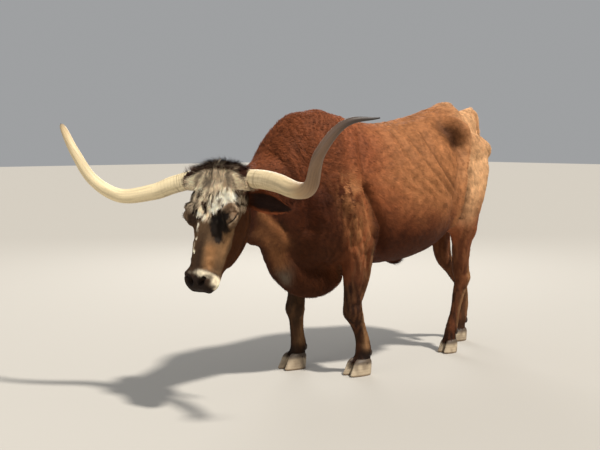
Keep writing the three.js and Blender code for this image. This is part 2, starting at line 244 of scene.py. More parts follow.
# Merges doubled points and turns every closed shell's faces outwards
def tidied(mesh, distance=1e-5):
    shape = bmesh.new()
    shape.from_mesh(mesh)
    bmesh.ops.remove_doubles(shape, verts=shape.verts, dist=distance)
    bmesh.ops.dissolve_degenerate(shape, dist=1e-7, edges=shape.edges)
    bmesh.ops.recalc_face_normals(shape, faces=shape.faces)
    shape.to_mesh(mesh)
    shape.free()
    mesh.update()
    return mesh


# One field of all items of a mesh, as rows of a few numbers
def rowsOf(items, field, width, kind=np.float32):
    values = np.empty(len(items) * width, kind)
    items.foreach_get(field, values)
    return values.reshape(-1, width)


def pointsOf(mesh):
    return rowsOf(mesh.vertices, "co", 3).astype(float)


def normalsOf(mesh):
    return rowsOf(mesh.vertex_normals, "vector", 3).astype(float)


def edgesOf(mesh):
    return rowsOf(mesh.edges, "vertices", 2, np.int32)


def trianglesOf(mesh):
    mesh.calc_loop_triangles()
    return rowsOf(mesh.loop_triangles, "vertices", 3, np.int32)


# Each point moves towards the mean of its neighbours, and back a little so that round forms keep their size
def relaxed(points, edges, rounds, keep, amount=1.0):
    a, b = edges.T
    count = len(points)
    degree = np.maximum(np.bincount(a, minlength=count) + np.bincount(b, minlength=count), 1)[:, None]
    amount = np.broadcast_to(amount, count)[:, None]
    for _ in range(rounds):
        for pull in (0.5, -0.5 * keep):
            sums = [np.bincount(a, value[b], count) + np.bincount(b, value[a], count) for value in points.T]
            points = points + pull * amount * (np.stack(sums, 1) / degree - points)
    return points


def paint(mesh, colours):
    layer = mesh.color_attributes.new("colouring", "FLOAT_COLOR", "POINT")
    rgba = np.ones((len(colours), 4), np.float32)
    rgba[:, :3] = colours
    layer.data.foreach_set("color", rgba.ravel())


# A closed, painted mesh from rings, the end rings' colours taken to the middle points as well
def paintedRings(name, grid, colours):
    mesh = meshOf(name, *closedGrid(grid + home))
    paint(mesh, np.concatenate([colours[:1], colours, colours[-1:]]).reshape(-1, 3))
    return tidied(mesh, 1e-7)


def placed(name, data):
    thing = bpy.data.objects.new(name, data)
    bpy.context.scene.collection.objects.link(thing)
    return thing


def piece(name, mesh, material, nodes=(), flat=False):
    thing = placed(name, mesh)
    mesh.materials.append(material)
    mesh.polygons.foreach_set("use_smooth", np.full(len(mesh.polygons), not flat))
    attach(thing, "root")
    if nodes:
        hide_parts(*nodes)
    return thing


# Tools for materials

class Wire:
    def __init__(self, tree, socket):
        self.tree = tree
        self.socket = socket

    def join(self, kind, other):
        node = self.tree.nodes.new("ShaderNodeMath")
        node.operation = kind
        feed(self.tree, node.inputs[0], self)
        feed(self.tree, node.inputs[1], other)
        return Wire(self.tree, node.outputs[0])

    def __add__(self, other):
        return self.join("ADD", other)

    def __mul__(self, other):
        return self.join("MULTIPLY", other)


def feed(tree, socket, value):
    if isinstance(value, Wire):
        tree.links.new(value.socket, socket)
    else:
        socket.default_value = value


def addNode(tree, kind, settings, inputs, output=0):
    node = tree.nodes.new(kind)
    for key, value in settings.items():
        setattr(node, key, value)
    for key, value in inputs.items():
        feed(tree, node.inputs[key], value)
    return Wire(tree, node.outputs[output])


# A material whose shader takes the given values, and the colours painted on the mesh as its colour. With a
# relief, noise of the given sizes breaks up the shade, raises the surface and, where asked, changes the
# roughness.
def surfaceOf(name, values, relief=None):
    material = bpy.data.materials.new(name)
    material.use_nodes = True
    tree = material.node_tree
    shader = tree.nodes["Principled BSDF"]
    colour = addNode(tree, "ShaderNodeAttribute", {"attribute_name": "colouring"}, {})
    if relief:
        place = addNode(tree, "ShaderNodeTexCoord", {}, {}, 3)
        noise = []
        for scale in relief["scales"]:
            inputs = {"Vector": place, "Scale": scale, "Detail": relief["detail"]}
            noise.append(addNode(tree, "ShaderNodeTexNoise", {}, inputs))
        fine = noise[0]
        height = fine * 0.6 + noise[1] * 0.4 if len(noise) > 1 else fine
        shade = fine * relief["shade"] + (1 - relief["shade"] / 2)
        inputs = {"Vector": colour, "Scale": shade}
        colour = addNode(tree, "ShaderNodeVectorMath", {"operation": "SCALE"}, inputs)
        bump = addNode(tree, "ShaderNodeBump", {}, {
            "Strength": relief["strength"], "Distance": relief["distance"], "Height": height})
        feed(tree, shader.inputs["Normal"], bump)
        if "uneven" in relief:
            values = values | {"Roughness": fine * relief["uneven"] + values["Roughness"]}
    feed(tree, shader.inputs["Base Color"], colour)
    for socket, value in values.items():
        feed(tree, shader.inputs[socket], value)
    return material


# sRGB values of 0 to 255 as the linear numbers that colours are mixed in
def tone(*parts):
    value = np.array(parts, float) / 255
    return np.where(value > 0.04045, ((value + 0.055) / 1.055) ** 2.4, value / 12.92)


# Colours moved towards one tone by a mask of 0 to 1
def mix(colours, shade, mask):
    return colours + (shade - colours) * np.clip(mask, 0, 1)[..., None]


# The animal's form, as tables of stations

trunkRows = np.array([
    # y, spine, underline, half breadth, widest line
    [-0.345, 1.020, 0.680, 0.090, 0.840],
    [-0.310, 1.190, 0.625, 0.150, 0.840],
    [-0.215, 1.352, 0.590, 0.215, 0.845],
    [-0.110, 1.419, 0.575, 0.250, 0.850],
    [0.020, 1.396, 0.563, 0.268, 0.870],
    [0.150, 1.362, 0.563, 0.292, 0.880],
    [0.290, 1.346, 0.563, 0.338, 0.875],
    [0.430, 1.350, 0.568, 0.360, 0.880],
    [0.570, 1.378, 0.590, 0.350, 0.905],
    [0.700, 1.410, 0.632, 0.312, 0.950],
    [0.820, 1.446, 0.692, 0.262, 1.010],
    [0.915, 1.474, 0.740, 0.228, 1.060],
    [0.985, 1.426, 0.770, 0.184, 1.080],
    [1.050, 1.432, 0.795, 0.140, 1.100],
    [1.110, 1.436, 0.840, 0.100, 1.130],
    [1.150, 1.394, 0.900, 0.078, 1.150],
    [1.172, 1.300, 0.960, 0.050, 1.150],
])
trunkPlace, spine, underline, trunkBreadth, widest = trunkRows.T
trunkStations = np.stack([0 * spine, trunkPlace, widest, trunkBreadth, spine - widest, widest - underline], 1)
neckStations = np.array([
    [0.000, 0.060, 1.000, 0.200, 0.340, 0.360],
    [0.000, -0.120, 0.985, 0.215, 0.425, 0.400],
    [0.010, -0.285, 0.955, 0.192, 0.368, 0.352],
    [0.052, -0.435, 0.935, 0.155, 0.262, 0.240],
    [0.118, -0.590, 0.945, 0.130, 0.195, 0.190],
    [0.200, -0.745, 0.985, 0.114, 0.145, 0.175],
    [0.240, -0.830, 1.010, 0.092, 0.105, 0.150],
])
dewlapStations = np.array([
    [0.205, -0.720, 0.856, 0.024, 0.060, 0.060],
    [0.140, -0.600, 0.812, 0.042, 0.080, 0.072],
    [0.080, -0.480, 0.786, 0.055, 0.090, 0.078],
    [0.028, -0.370, 0.714, 0.076, 0.100, 0.098],
    [0.000, -0.260, 0.600, 0.098, 0.110, 0.108],
    [0.000, -0.140, 0.540, 0.104, 0.110, 0.122],
    [0.000, -0.030, 0.540, 0.102, 0.100, 0.112],
    [0.000, 0.055, 0.602, 0.084, 0.070, 0.094],
    [0.000, 0.112, 0.622, 0.060, 0.050, 0.064],
])
sheathStations = np.array([
    [0.000, 0.400, 0.600, 0.020, 0.020, 0.018],
    [0.000, 0.440, 0.592, 0.034, 0.030, 0.034],
    [0.000, 0.510, 0.590, 0.040, 0.030, 0.042],
    [0.000, 0.580, 0.612, 0.036, 0.030, 0.034],
    [0.000, 0.660, 0.650, 0.022, 0.022, 0.020],
])
foreLimb = np.array([
    [0.140, -0.040, 1.130, 0.060, 0.090, 0.090],
    [0.170, -0.040, 0.980, 0.090, 0.140, 0.125],
    [0.180, -0.025, 0.800, 0.094, 0.138, 0.128],
    [0.184, 0.000, 0.660, 0.078, 0.112, 0.110],
    [0.180, 0.000, 0.520, 0.062, 0.084, 0.084],
    [0.171, 0.000, 0.410, 0.050, 0.064, 0.058],
    [0.168, 0.002, kneeHeight, 0.052, 0.066, 0.056],
    [0.166, 0.004, 0.272, 0.038, 0.046, 0.050],
    [0.166, 0.008, 0.200, 0.034, 0.040, 0.050],
    [0.166, 0.020, 0.130, 0.042, 0.046, 0.052],
    [0.166, 0.014, 0.094, 0.043, 0.050, 0.050],
    [0.166, 0.000, 0.070, 0.056, 0.066, 0.062],
])
hindLimb = np.array([
    [0.110, 0.002, 1.230, 0.044, 0.110, 0.090],
    [0.145, -0.003, 1.080, 0.076, 0.150, 0.120],
    [0.156, -0.052, 0.930, 0.084, 0.160, 0.135],
    [0.150, -0.052, 0.790, 0.074, 0.135, 0.118],
    [0.134, -0.030, 0.660, 0.052, 0.088, 0.096],
    [0.120, -0.005, 0.530, 0.045, 0.072, 0.072],
    [0.106, 0.019, 0.415, 0.040, 0.058, 0.064],
    [0.104, 0.014, 0.335, 0.031, 0.043, 0.048],
    [0.100, 0.002, 0.240, 0.028, 0.037, 0.040],
    [0.098, -0.028, 0.140, 0.036, 0.042, 0.044],
    [0.098, -0.040, 0.096, 0.035, 0.042, 0.040],
    [0.098, -0.045, 0.062, 0.044, 0.050, 0.046],
])
limbs = {
    # stations, side, place, stride, and the limb's give forward: amount, height, fading above and below
    "fore_left": (foreLimb, 1, 0.0, 0.100, (0.052, 0.330, 0.170, 0.072)),
    "fore_right": (foreLimb, -1, 0.0, -0.080, (-0.022, 0.500, 0.140, 0.110)),
    "hind_left": (hindLimb, 1, 1.038, -0.118, (-0.014, 0.390, 0.090, 0.060)),
    "hind_right": (hindLimb, -1, 1.038, 0.190, (0.115, 0.500, 0.230, 0.150)),
}
feet = {"fore": (0.027, 0.088, 0.052), "hind": (0.022, 0.060, 0.042)}  # breadth, toe and heel of a claw


# How far a limb's step moves it at a height: the foot in full, and the limb above it less and less
def stepOf(limb, z):
    stations, side, place, stride, (amount, height, above, below) = limbs[limb]
    top = stations[0, 2]
    share = np.clip((top - z) / (top - kneeHeight), 0, 1) ** 1.2
    return place + stride * share - amount * bell(z, height, np.where(z > height, above, below))


def stepped(limb):
    rows = handed(limbs[limb][0], limbs[limb][1])
    rows[:, 1] += stepOf(limb, rows[:, 2])
    return rows


tailStations = np.array([
    [0.000, 1.040, 1.402, 0.030, 0.024, 0.024],
    [0.000, 1.122, 1.421, 0.032, 0.029, 0.029],
    [0.000, 1.174, 1.396, 0.029, 0.027, 0.027],
    [0.000, 1.196, 1.325, 0.025, 0.024, 0.024],
    [0.000, 1.204, 1.210, 0.022, 0.022, 0.022],
    [0.000, 1.203, 1.110, 0.020, 0.020, 0.020],
    [0.000, 1.199, 1.000, 0.019, 0.019, 0.019],
    [-0.001, 1.178, 0.900, 0.018, 0.018, 0.018],
    [-0.002, 1.146, 0.800, 0.017, 0.017, 0.017],
    [-0.004, 1.098, 0.640, 0.016, 0.016, 0.016],
])
switchStations = np.array([
    [-0.004, 1.112, 0.690, 0.017, 0.017, 0.017],
    [-0.004, 1.092, 0.620, 0.026, 0.026, 0.026],
    [-0.004, 1.070, 0.540, 0.032, 0.030, 0.030],
    [-0.004, 1.052, 0.460, 0.027, 0.026, 0.026],
    [-0.004, 1.042, 0.390, 0.009, 0.009, 0.009],
])
headRows = np.array([
    # down the face, widest line, half breadth, reach to the forehead, reach to the jaw
    [-0.060, -0.030, 0.060, 0.024, 0.040],
    [-0.038, -0.028, 0.104, 0.048, 0.070],
    [0.005, -0.026, 0.128, 0.062, 0.120],
    [0.070, -0.024, 0.137, 0.066, 0.165],
    [0.135, -0.032, 0.132, 0.070, 0.198],
    [0.200, -0.050, 0.113, 0.080, 0.200],
    [0.265, -0.066, 0.093, 0.092, 0.172],
    [0.330, -0.064, 0.077, 0.088, 0.142],
    [0.390, -0.056, 0.072, 0.070, 0.099],
    [0.438, -0.050, 0.080, 0.054, 0.080],
    [0.476, -0.048, 0.080, 0.044, 0.062],
    [0.505, -0.052, 0.055, 0.028, 0.040],
])
headStations = np.stack([0 * headRows[:, 0], headRows[:, 1], headRows[:, 0], *headRows[:, 2:].T], 1)


# Stations of round sections, given with one reach
def roundRows(rows):
    rows = np.asarray(rows, float)
    return np.column_stack([rows, rows[:, 3], rows[:, 3]])


hornStations = {
    "left": roundRows([
        [0.172, 0.002, 0.014, 0.042],
        [0.260, -0.018, 0.012, 0.042],
        [0.354, -0.046, 0.000, 0.041],
        [0.496, -0.111, -0.024, 0.036],
        [0.608, -0.186, 0.002, 0.030],
        [0.679, -0.232, 0.133, 0.023],
        [0.778, -0.205, 0.249, 0.016],
        [0.883, -0.116, 0.271, 0.003],
    ]),
    "right": roundRows([
        [0.172, 0.002, 0.000, 0.042],
        [0.260, -0.018, -0.024, 0.041],
        [0.353, -0.052, -0.058, 0.038],
        [0.493, -0.124, -0.076, 0.033],
        [0.601, -0.191, -0.002, 0.028],
        [0.682, -0.225, 0.126, 0.023],
        [0.775, -0.204, 0.234, 0.016],
        [0.889, -0.116, 0.263, 0.003],
    ]),
}
tuftStations = np.array([
    [-0.165, 0.004, 0.016, 0.026, 0.020, 0.026],
    [-0.115, 0.004, 0.028, 0.036, 0.028, 0.040],
    [-0.055, 0.002, 0.040, 0.044, 0.036, 0.050],
    [0.000, 0.000, 0.046, 0.048, 0.042, 0.050],
    [0.055, 0.002, 0.042, 0.044, 0.038, 0.050],
    [0.115, 0.004, 0.032, 0.036, 0.030, 0.040],
    [0.165, 0.004, 0.020, 0.026, 0.022, 0.026],
])


def collarStations(hand):
    end = {"left": 0.203, "right": 0.184}[hand]
    tilt = hornStations[hand][0][2]
    return handed(roundRows([
        [0.060, 0.012, 0.008, 0.060],
        [0.120, 0.006, 0.008, 0.056],
        [end - 0.028, 0.000, tilt, 0.051],
        [end, -0.006, tilt, 0.046],
    ]), hands[hand])


# The left hook, the point of the hip, from the spine outwards, and the bone running back from it to the pin
hookStations = np.array([
    [0.040, 0.866, 1.350, 0.060, 0.050, 0.070],
    [0.100, 0.842, 1.342, 0.076, 0.058, 0.080],
    [0.155, 0.820, 1.322, 0.086, 0.062, 0.084],
    [0.205, 0.804, 1.300, 0.086, 0.060, 0.078],
    [0.243, 0.798, 1.286, 0.066, 0.042, 0.056],
    [0.266, 0.796, 1.278, 0.022, 0.014, 0.020],
])
pinStations = np.array([
    [0.196, 0.815, 1.270, 0.060, 0.060, 0.070],
    [0.186, 0.880, 1.252, 0.058, 0.070, 0.090],
    [0.170, 0.950, 1.228, 0.060, 0.080, 0.100],
    [0.150, 1.015, 1.210, 0.062, 0.084, 0.100],
    [0.130, 1.080, 1.196, 0.058, 0.080, 0.090],
    [0.108, 1.145, 1.184, 0.046, 0.066, 0.070],
    [0.094, 1.190, 1.170, 0.016, 0.020, 0.024],
])


# The hide: every form joined and melted into one skin

skinLook = {"cell": 0.0162, "headZoom": 2.7, "headReach": 0.30}


def fleshForms():
    forms = [
        rings(trunkStations, 120, 96, up, back, (2, 2.1)),
        rings(neckStations, 60, 64, up),
        rings(dewlapStations, 60, 40, up),
        rings(sheathStations, 24, 24, up),
    ]
    for side in (1, -1):
        forms += [rings(handed(hookStations, side), 30, 32, up), rings(handed(pinStations, side), 40, 32, up)]
    forms += [rings(stepped(limb), 110, 40, ahead, -up) for limb in limbs]
    forms.append(fromFace(rings(headStations, 70, 60, back, up, (2.6, 2.1))))
    forms += [fromFace(egg([side * 0.104, -0.008, 0.156], [0.043, 0.046, 0.064])) for side in (1, -1)]
    forms.append(fromPoll(rings(tuftStations, 30, 30, up)))
    forms += [fromPoll(rings(collarStations(hand), 16, 32, up)) for hand in hands]
    forms.append(rings(tailStations[:4], 30, 24, back))
    return forms


headMiddle = fromFace([0, -0.04, 0.22])


def fromHead(points):
    return np.linalg.norm(points - headMiddle, axis=1)


# Space about the head is drawn out, so that the same cells take the face in finer steps, and then drawn back
def drawn(points, out):
    away = points - headMiddle
    far = np.linalg.norm(away, axis=1, keepdims=True)
    zoom = skinLook["headZoom"]
    shift = skinLook["headReach"] * (zoom - 1)
    moved = np.minimum(far * zoom, far + shift) if out else np.maximum(far / zoom, far - shift)
    return headMiddle + away / np.maximum(far, 1e-9) * moved


def meltedMesh():
    points, faces = stack([closedGrid(form) for form in fleshForms()])
    thing = placed("forms", tidied(meshOf("forms", drawn(points, True), faces), 1e-6))
    melt = thing.modifiers.new("melt", "REMESH")
    melt.mode = "VOXEL"
    melt.voxel_size = skinLook["cell"]
    graph = bpy.context.evaluated_depsgraph_get()
    melted = bpy.data.meshes.new_from_object(thing.evaluated_get(graph))
    bpy.data.objects.remove(thing)
    movePoints(melted, drawn(pointsOf(melted), False))
    return melted


# Raised and sunken forms of the trunk, seen from the side and the same on both: places (y, z), width, height
sideForms = {
    "hollow before the hook": ([(0.715, 1.310), (0.765, 1.215)], 0.062, -0.028),
    "hollow's deepest place": ([(0.742, 1.300), (0.765, 1.235)], 0.036, -0.009),
    "behind the last rib": ([(0.60, 1.20), (0.60, 1.08), (0.62, 0.98)], 0.060, -0.011),
    "edge of the loin": ([(0.46, 1.335), (0.60, 1.350), (0.71, 1.385), (0.79, 1.365)], 0.020, 0.010),
    "hook": ([(0.800, 1.360), (0.838, 1.31), (0.850, 1.24), (0.848, 1.15)], 0.034, 0.008),
    "behind the hook": ([(0.93, 1.33), (1.00, 1.29)], 0.046, -0.012),
    "hip joint": ([(0.985, 1.145), (0.985, 1.12)], 0.060, 0.010),
    "pin": ([(1.135, 1.20), (1.15, 1.17)], 0.030, 0.008),
    "flank fold": ([(0.856, 1.19), (0.812, 1.08), (0.764, 0.97), (0.733, 0.86), (0.712, 0.78)], 0.021, 0.020),
    "before the fold": ([(0.762, 1.14), (0.712, 1.03), (0.668, 0.93), (0.645, 0.84)], 0.022, -0.014),
    "before the thigh": ([(0.842, 1.05), (0.828, 0.96), (0.836, 0.88), (0.848, 0.80)], 0.030, -0.019),
    "deep before the thigh": ([(0.836, 0.98), (0.832, 0.90), (0.840, 0.84)], 0.021, -0.014),
    "up from it": ([(0.866, 1.17), (0.845, 1.07)], 0.022, -0.006),
    "thigh's parting": ([(1.10, 1.10), (1.085, 0.98), (1.045, 0.86), (1.00, 0.76)], 0.021, -0.013),
    "thigh's front": ([(0.90, 1.05), (0.90, 0.94)], 0.040, 0.006),
    "shoulder blade's ridge": ([(-0.06, 1.33), (-0.09, 1.20), (-0.13, 1.06), (-0.17, 0.95)], 0.028, 0.009),
    "before the blade": ([(-0.16, 1.30), (-0.19, 1.16), (-0.22, 1.02)], 0.036, -0.013),
    "blade's rear edge": ([(0.062, 1.33), (0.012, 1.20), (-0.003, 1.10), (0.005, 0.99)], 0.020, 0.008),
    "behind the blade": ([(0.105, 1.31), (0.058, 1.20), (0.045, 1.09), (0.06, 0.99)], 0.026, -0.014),
    "point of the shoulder": ([(-0.215, 0.91), (-0.205, 0.88)], 0.046, 0.014),
    "neck's root": ([(-0.27, 1.24), (-0.30, 1.10), (-0.31, 0.96), (-0.27, 0.80)], 0.032, -0.016),
}
# Forms of the upper fore limb, as before its step: places (y, z), width and height
armForms = {
    "arm muscle": ([(-0.035, 0.97), (-0.02, 0.88), (0.01, 0.79), (0.03, 0.72)], 0.034, 0.015),
    "arm's second muscle": ([(-0.075, 0.93), (-0.062, 0.84), (-0.045, 0.75)], 0.018, 0.007),
    "between the muscles": ([(-0.060, 0.97), (-0.042, 0.86), (-0.018, 0.74), (-0.012, 0.66)], 0.010, -0.009),
    "behind the arm": ([(0.045, 1.00), (0.082, 0.90), (0.112, 0.80), (0.118, 0.69)], 0.022, -0.036),
    "elbow": ([(0.080, 0.80), (0.085, 0.74), (0.062, 0.68)], 0.020, 0.016),
    "above the elbow": ([(0.040, 0.88), (0.048, 0.80), (0.030, 0.72)], 0.013, -0.010),
    "before the arm": ([(-0.115, 0.90), (-0.10, 0.80), (-0.075, 0.71)], 0.020, -0.014),
    "forearm's parting": ([(0.010, 0.67), (0.016, 0.56), (0.010, 0.43)], 0.011, -0.014),
    "forearm's front": ([(-0.04, 0.62), (-0.035, 0.50)], 0.024, 0.006),
    "knee's side": ([(0.004, 0.36), (0.002, 0.31)], 0.018, 0.005),
    "over the knee": ([(-0.03, 0.385), (0.02, 0.39)], 0.012, -0.004),
    "below the knee": ([(0.020, 0.285), (0.024, 0.155)], 0.0095, -0.010),
    "behind the knee": ([(0.040, 0.40), (0.034, 0.35)], 0.014, -0.006),
    "above the fetlock": ([(-0.004, 0.17), (0.0, 0.16)], 0.012, -0.004),
}
shankForms = {
    "before the tendon": ([(0.040, 0.66), (0.034, 0.56), (0.040, 0.46)], 0.016, -0.020),
    "shin's muscle": ([(-0.060, 0.74), (-0.045, 0.62), (-0.02, 0.50)], 0.024, 0.008),
    "hock's side": ([(0.012, 0.43), (0.008, 0.39)], 0.017, 0.006),
    "hock's point": ([(0.072, 0.455), (0.070, 0.43)], 0.018, 0.005),
    "below the hock": ([(0.030, 0.37), (0.018, 0.27), (-0.008, 0.17)], 0.0085, -0.010),
    "front of the hock": ([(-0.028, 0.43), (-0.022, 0.40)], 0.015, -0.006),
}
ribs = {"count": 6, "last": 0.477, "between": 0.094, "sweep": 2.3, "width": 0.022, "height": 0.0115}


# One rib and the skin about it: ribs sweep back as they go down, and the rear ones show most
def ribAt(points, k, behind, top):
    x, y, z = points.T
    line = ribs["last"] - k * ribs["between"] + ribs["sweep"] * np.maximum(1.25 - z, 0) ** 2 + behind
    return ease(0.88, 1.02, z) * (1 - ease(top, top + 0.07, z)) * 0.72**k * bell(y, line, ribs["width"])


def bodyRelief(points):
    x, y, z = points.T
    relief = reliefOf(points[:, 1:], sideForms.values())
    for k in range(ribs["count"]):
        relief += ribs["height"] * (ribAt(points, k, 0, 1.27) - 0.6 * ribAt(points, k, 0.046, 1.27))
    relief *= ease(0.05, 0.12, np.abs(x))
    # The spine's row of knobs between the hump and the tail
    onSpine = bell(x, 0, 0.030) * ease(0.22, 0.40, y) * (1 - ease(0.92, 1.0, y)) * ease(1.2, 1.3, z)
    relief += onSpine * (0.005 + 0.0022 * np.cos(2 * math.pi * (y + 0.02 * cloud(points, 0.1, 5)) / 0.062))
    for limb, (_, side, *_) in limbs.items():
        forms = armForms if limb.startswith("fore") else shankForms
        behind = y - stepOf(limb, z)
        own = (x * side > 0.01) & (z < 1.05) & (np.abs(behind) < 0.30)
        relief[own] += reliefOf(np.stack([behind, z], 1)[own], forms.values())
    return relief


# Long loose folds from the throat over the dewlap, and wrinkles across the neck's side
looseFolds = [
    # places, width, height
    ([(0.262, -0.640, 0.905), (0.222, -0.550, 0.850), (0.165, -0.440, 0.790),
      (0.130, -0.36, 0.70)], 0.017, 0.010),
    ([(0.235, -0.600, 0.925), (0.190, -0.500, 0.880), (0.165, -0.40, 0.80)], 0.016, -0.014),
    ([(0.205, -0.625, 0.830), (0.150, -0.520, 0.790), (0.090, -0.43, 0.72),
      (0.06, -0.36, 0.63)], 0.014, 0.007),
    ([(0.120, -0.40, 0.66), (0.115, -0.31, 0.58), (0.112, -0.22, 0.53)], 0.016, 0.007),
    ([(0.115, -0.34, 0.70), (0.135, -0.25, 0.62), (0.135, -0.14, 0.57)], 0.017, -0.012),
    ([(-0.07, -0.40, 0.70), (-0.10, -0.28, 0.60), (-0.11, -0.16, 0.54)], 0.018, 0.006),
    ([(0.060, -0.52, 1.130), (0.120, -0.48, 1.080), (0.165, -0.45, 1.000),
      (0.170, -0.47, 0.900)], 0.017, -0.013),
    ([(0.050, -0.44, 1.210), (0.130, -0.40, 1.140), (0.180, -0.37, 1.040),
      (0.180, -0.38, 0.930)], 0.018, -0.014),
    ([(0.030, -0.36, 1.290), (0.120, -0.32, 1.220), (0.185, -0.29, 1.110)], 0.017, -0.009),
    ([(0.100, -0.60, 1.040), (0.160, -0.57, 1.010), (0.205, -0.56, 0.950)], 0.015, -0.010),
]


# Loose skin: uneven lumps everywhere, and wrinkles that run down the arm and back from the elbow
def looseSkin(points):
    x, y, z = points.T
    high = ease(0.45, 0.62, z) * ease(0.18, 0.30, fromHead(points))
    lumps = 0.0055 * (cloud(points, 0.055, 98) - 0.5) + 0.0030 * (cloud(points, 0.024, 99) - 0.5)
    wander = 0.05 * cloud(points, 0.10, 93) + 0.012 * cloud(points, 0.03, 94)
    row = np.sin(2 * math.pi * (y + 0.22 * z + wander) / 0.042)
    onArm = ease(-0.26, -0.18, y) * ease(0.16, 0.08, y) * ease(1.08, 0.92, z) * ease(0.50, 0.60, z)
    onFlank = nearPath(points[:, 1:], [(0.62, 0.80), (0.72, 0.98), (0.84, 1.16)], 0.07)
    return high * (lumps + 0.0030 * row * np.maximum(onArm, 0.8 * onFlank))


# Rows of crinkled hair across the side of the neck and over the shoulders: -1 between the rows and 1 on them
def crinkle(points):
    x, y, z = points.T
    wander = 0.030 * cloud(points, 0.09, 95) + 0.010 * cloud(points, 0.025, 96)
    row = np.sin(2 * math.pi * (y + 0.28 * z + wander) / 0.030)
    broken = 0.55 + 0.9 * (cloud(points, (0.03, 0.03, 0.045), 97) - 0.3)
    most = nearPath(points[:, 1:], [(-0.28, 1.27), (-0.32, 1.14), (-0.40, 1.02), (-0.50, 0.95)], 0.17)
    spread = ease(0.30, 0.0, y) * ease(0.80, 0.98, z) * ease(0.34, 0.44, fromHead(points))
    return row * np.clip(broken, 0, 1) * spread * (0.30 + 0.70 * most)


# Forms of the face in its own frame (left, out of the forehead, down the face); the same on both sides
faceForms = {
    "brow": ([(0.085, 0.030, 0.045), (0.112, 0.030, 0.085), (0.130, 0.024, 0.125)], 0.016, 0.007),
    "above the eye": ([(0.118, -0.014, 0.060), (0.136, -0.032, 0.090)], 0.020, -0.008),
    "forehead's hollow": ([(0.030, 0.040, 0.075), (0.020, 0.035, 0.150)], 0.036, -0.005),
    "before the eye": ([(0.088, 0.020, 0.196), (0.080, 0.012, 0.225), (0.076, 0.004, 0.262)], 0.022, -0.014),
    "brow over the hollow": (
        [(0.060, 0.040, 0.150), (0.092, 0.036, 0.148), (0.116, 0.028, 0.138)], 0.016, 0.008),
    "cheekbone": ([(0.132, -0.040, 0.200), (0.108, -0.055, 0.255), (0.090, -0.060, 0.320)], 0.013, 0.008),
    "below the cheekbone": ([(0.112, -0.095, 0.245), (0.090, -0.095, 0.330)], 0.022, -0.007),
    "chewing muscle": ([(0.118, -0.130, 0.140), (0.112, -0.150, 0.190)], 0.040, 0.007),
    "jaw's edge": (
        [(0.082, -0.215, 0.130), (0.074, -0.225, 0.190), (0.056, -0.205, 0.265), (0.046, -0.170, 0.350)],
        0.016, 0.008),
    "between the jaws": ([(0.0, -0.23, 0.180), (0.0, -0.21, 0.260), (0.0, -0.17, 0.350)], 0.024, -0.014),
    "nose bone's edge": ([(0.034, 0.034, 0.230), (0.030, 0.026, 0.320), (0.030, 0.012, 0.395)], 0.012, 0.005),
    "beside the nose": ([(0.060, 0.014, 0.270), (0.056, 0.004, 0.350)], 0.014, -0.006),
    "nostril's flare": ([(0.036, 0.006, 0.430), (0.060, -0.012, 0.436)], 0.017, 0.007),
    "behind the nostril": ([(0.060, -0.010, 0.392), (0.074, -0.040, 0.405)], 0.013, -0.006),
    "upper lip": ([(0.0, -0.060, 0.515), (0.040, -0.062, 0.500), (0.070, -0.070, 0.462)], 0.016, 0.005),
    "chin": ([(0.0, -0.118, 0.470), (0.018, -0.118, 0.462)], 0.024, 0.007),
    "cleft of the lip": ([(0.0, -0.030, 0.515), (0.0, -0.066, 0.522)], 0.006, -0.004),
}
mouthLine = [(0.0, -0.082, 0.525), (0.034, -0.084, 0.510), (0.062, -0.092, 0.478), (0.076, -0.102, 0.442),
             (0.078, -0.112, 0.405), (0.080, -0.116, 0.388)]
nostrilLine = [(0.027, -0.006, 0.478), (0.034, -0.002, 0.468), (0.044, -0.002, 0.456), (0.056, -0.013, 0.448),
               (0.064, -0.028, 0.450)]


def faceRelief(points):
    half = mirrored(toFace(points))
    relief = reliefOf(half, faceForms.values())
    relief -= 0.010 * nearPath(half, mouthLine, 0.0045)
    relief += 0.0035 * (nearPath(half, mouthLine, 0.013) - nearPath(half, mouthLine, 0.006))
    relief += 0.0080 * nearPath(half, nostrilLine, 0.021)
    relief -= 0.038 * nearPath(half, nostrilLine[:2], 0.0115)
    relief -= 0.013 * nearPath(half, nostrilLine[1:], 0.0058)
    # Small bumps of the bare nose pad
    pad = nearSpot(half, (0.0, -0.030, 0.510), (0.062, 0.045, 0.040))
    return relief + pad * 0.0012 * (cloud(points, 0.004, 3) - 0.5)


# Local refinement: every edge with both ends within reach of a path, on either side of the face, is halved
def refine(mesh, paths):
    points = pointsOf(mesh)
    near = np.zeros(len(points), bool)
    for path, reach in paths:
        for side in (1, -1):
            near |= nearPath(points, fromFace(handed(path, side)), reach) > math.exp(-1)
    shape = bmesh.new()
    shape.from_mesh(mesh)
    shape.verts.ensure_lookup_table()
    chosen = [edge for edge in shape.edges if near[edge.verts[0].index] and near[edge.verts[1].index]]
    bmesh.ops.subdivide_edges(shape, edges=chosen, cuts=1, use_grid_fill=True)
    bmesh.ops.triangulate(shape, faces=[face for face in shape.faces if len(face.verts) > 4])
    shape.to_mesh(mesh)
    shape.free()


# Lids: the hide lies as a cap over the eyeball, open along a narrow slit with a bead at its rim
lids = {"thick": 0.0026, "halfLength": 0.0210, "upper": 0.0020, "lower": 0.0050, "bead": 0.0012,
        "blend": 0.010, "reach": 0.052, "fold": 0.0019, "deep": 0.0045}
# Folds about the slit: how far out, how wide and how strong, above it and below it
lidFolds = (((0.0078, 0.0013, 1.0), (0.0125, 0.0016, 0.6)), ((0.0065, 0.0014, 1.0), (0.0110, 0.0016, 0.5)))
lookOut = unit(np.array([0.90, 0.36, 0.24]))
slitAlong = unit(np.array([-0.343, 0.252, 0.905]))
lidUp = -np.cross(lookOut, slitAlong)


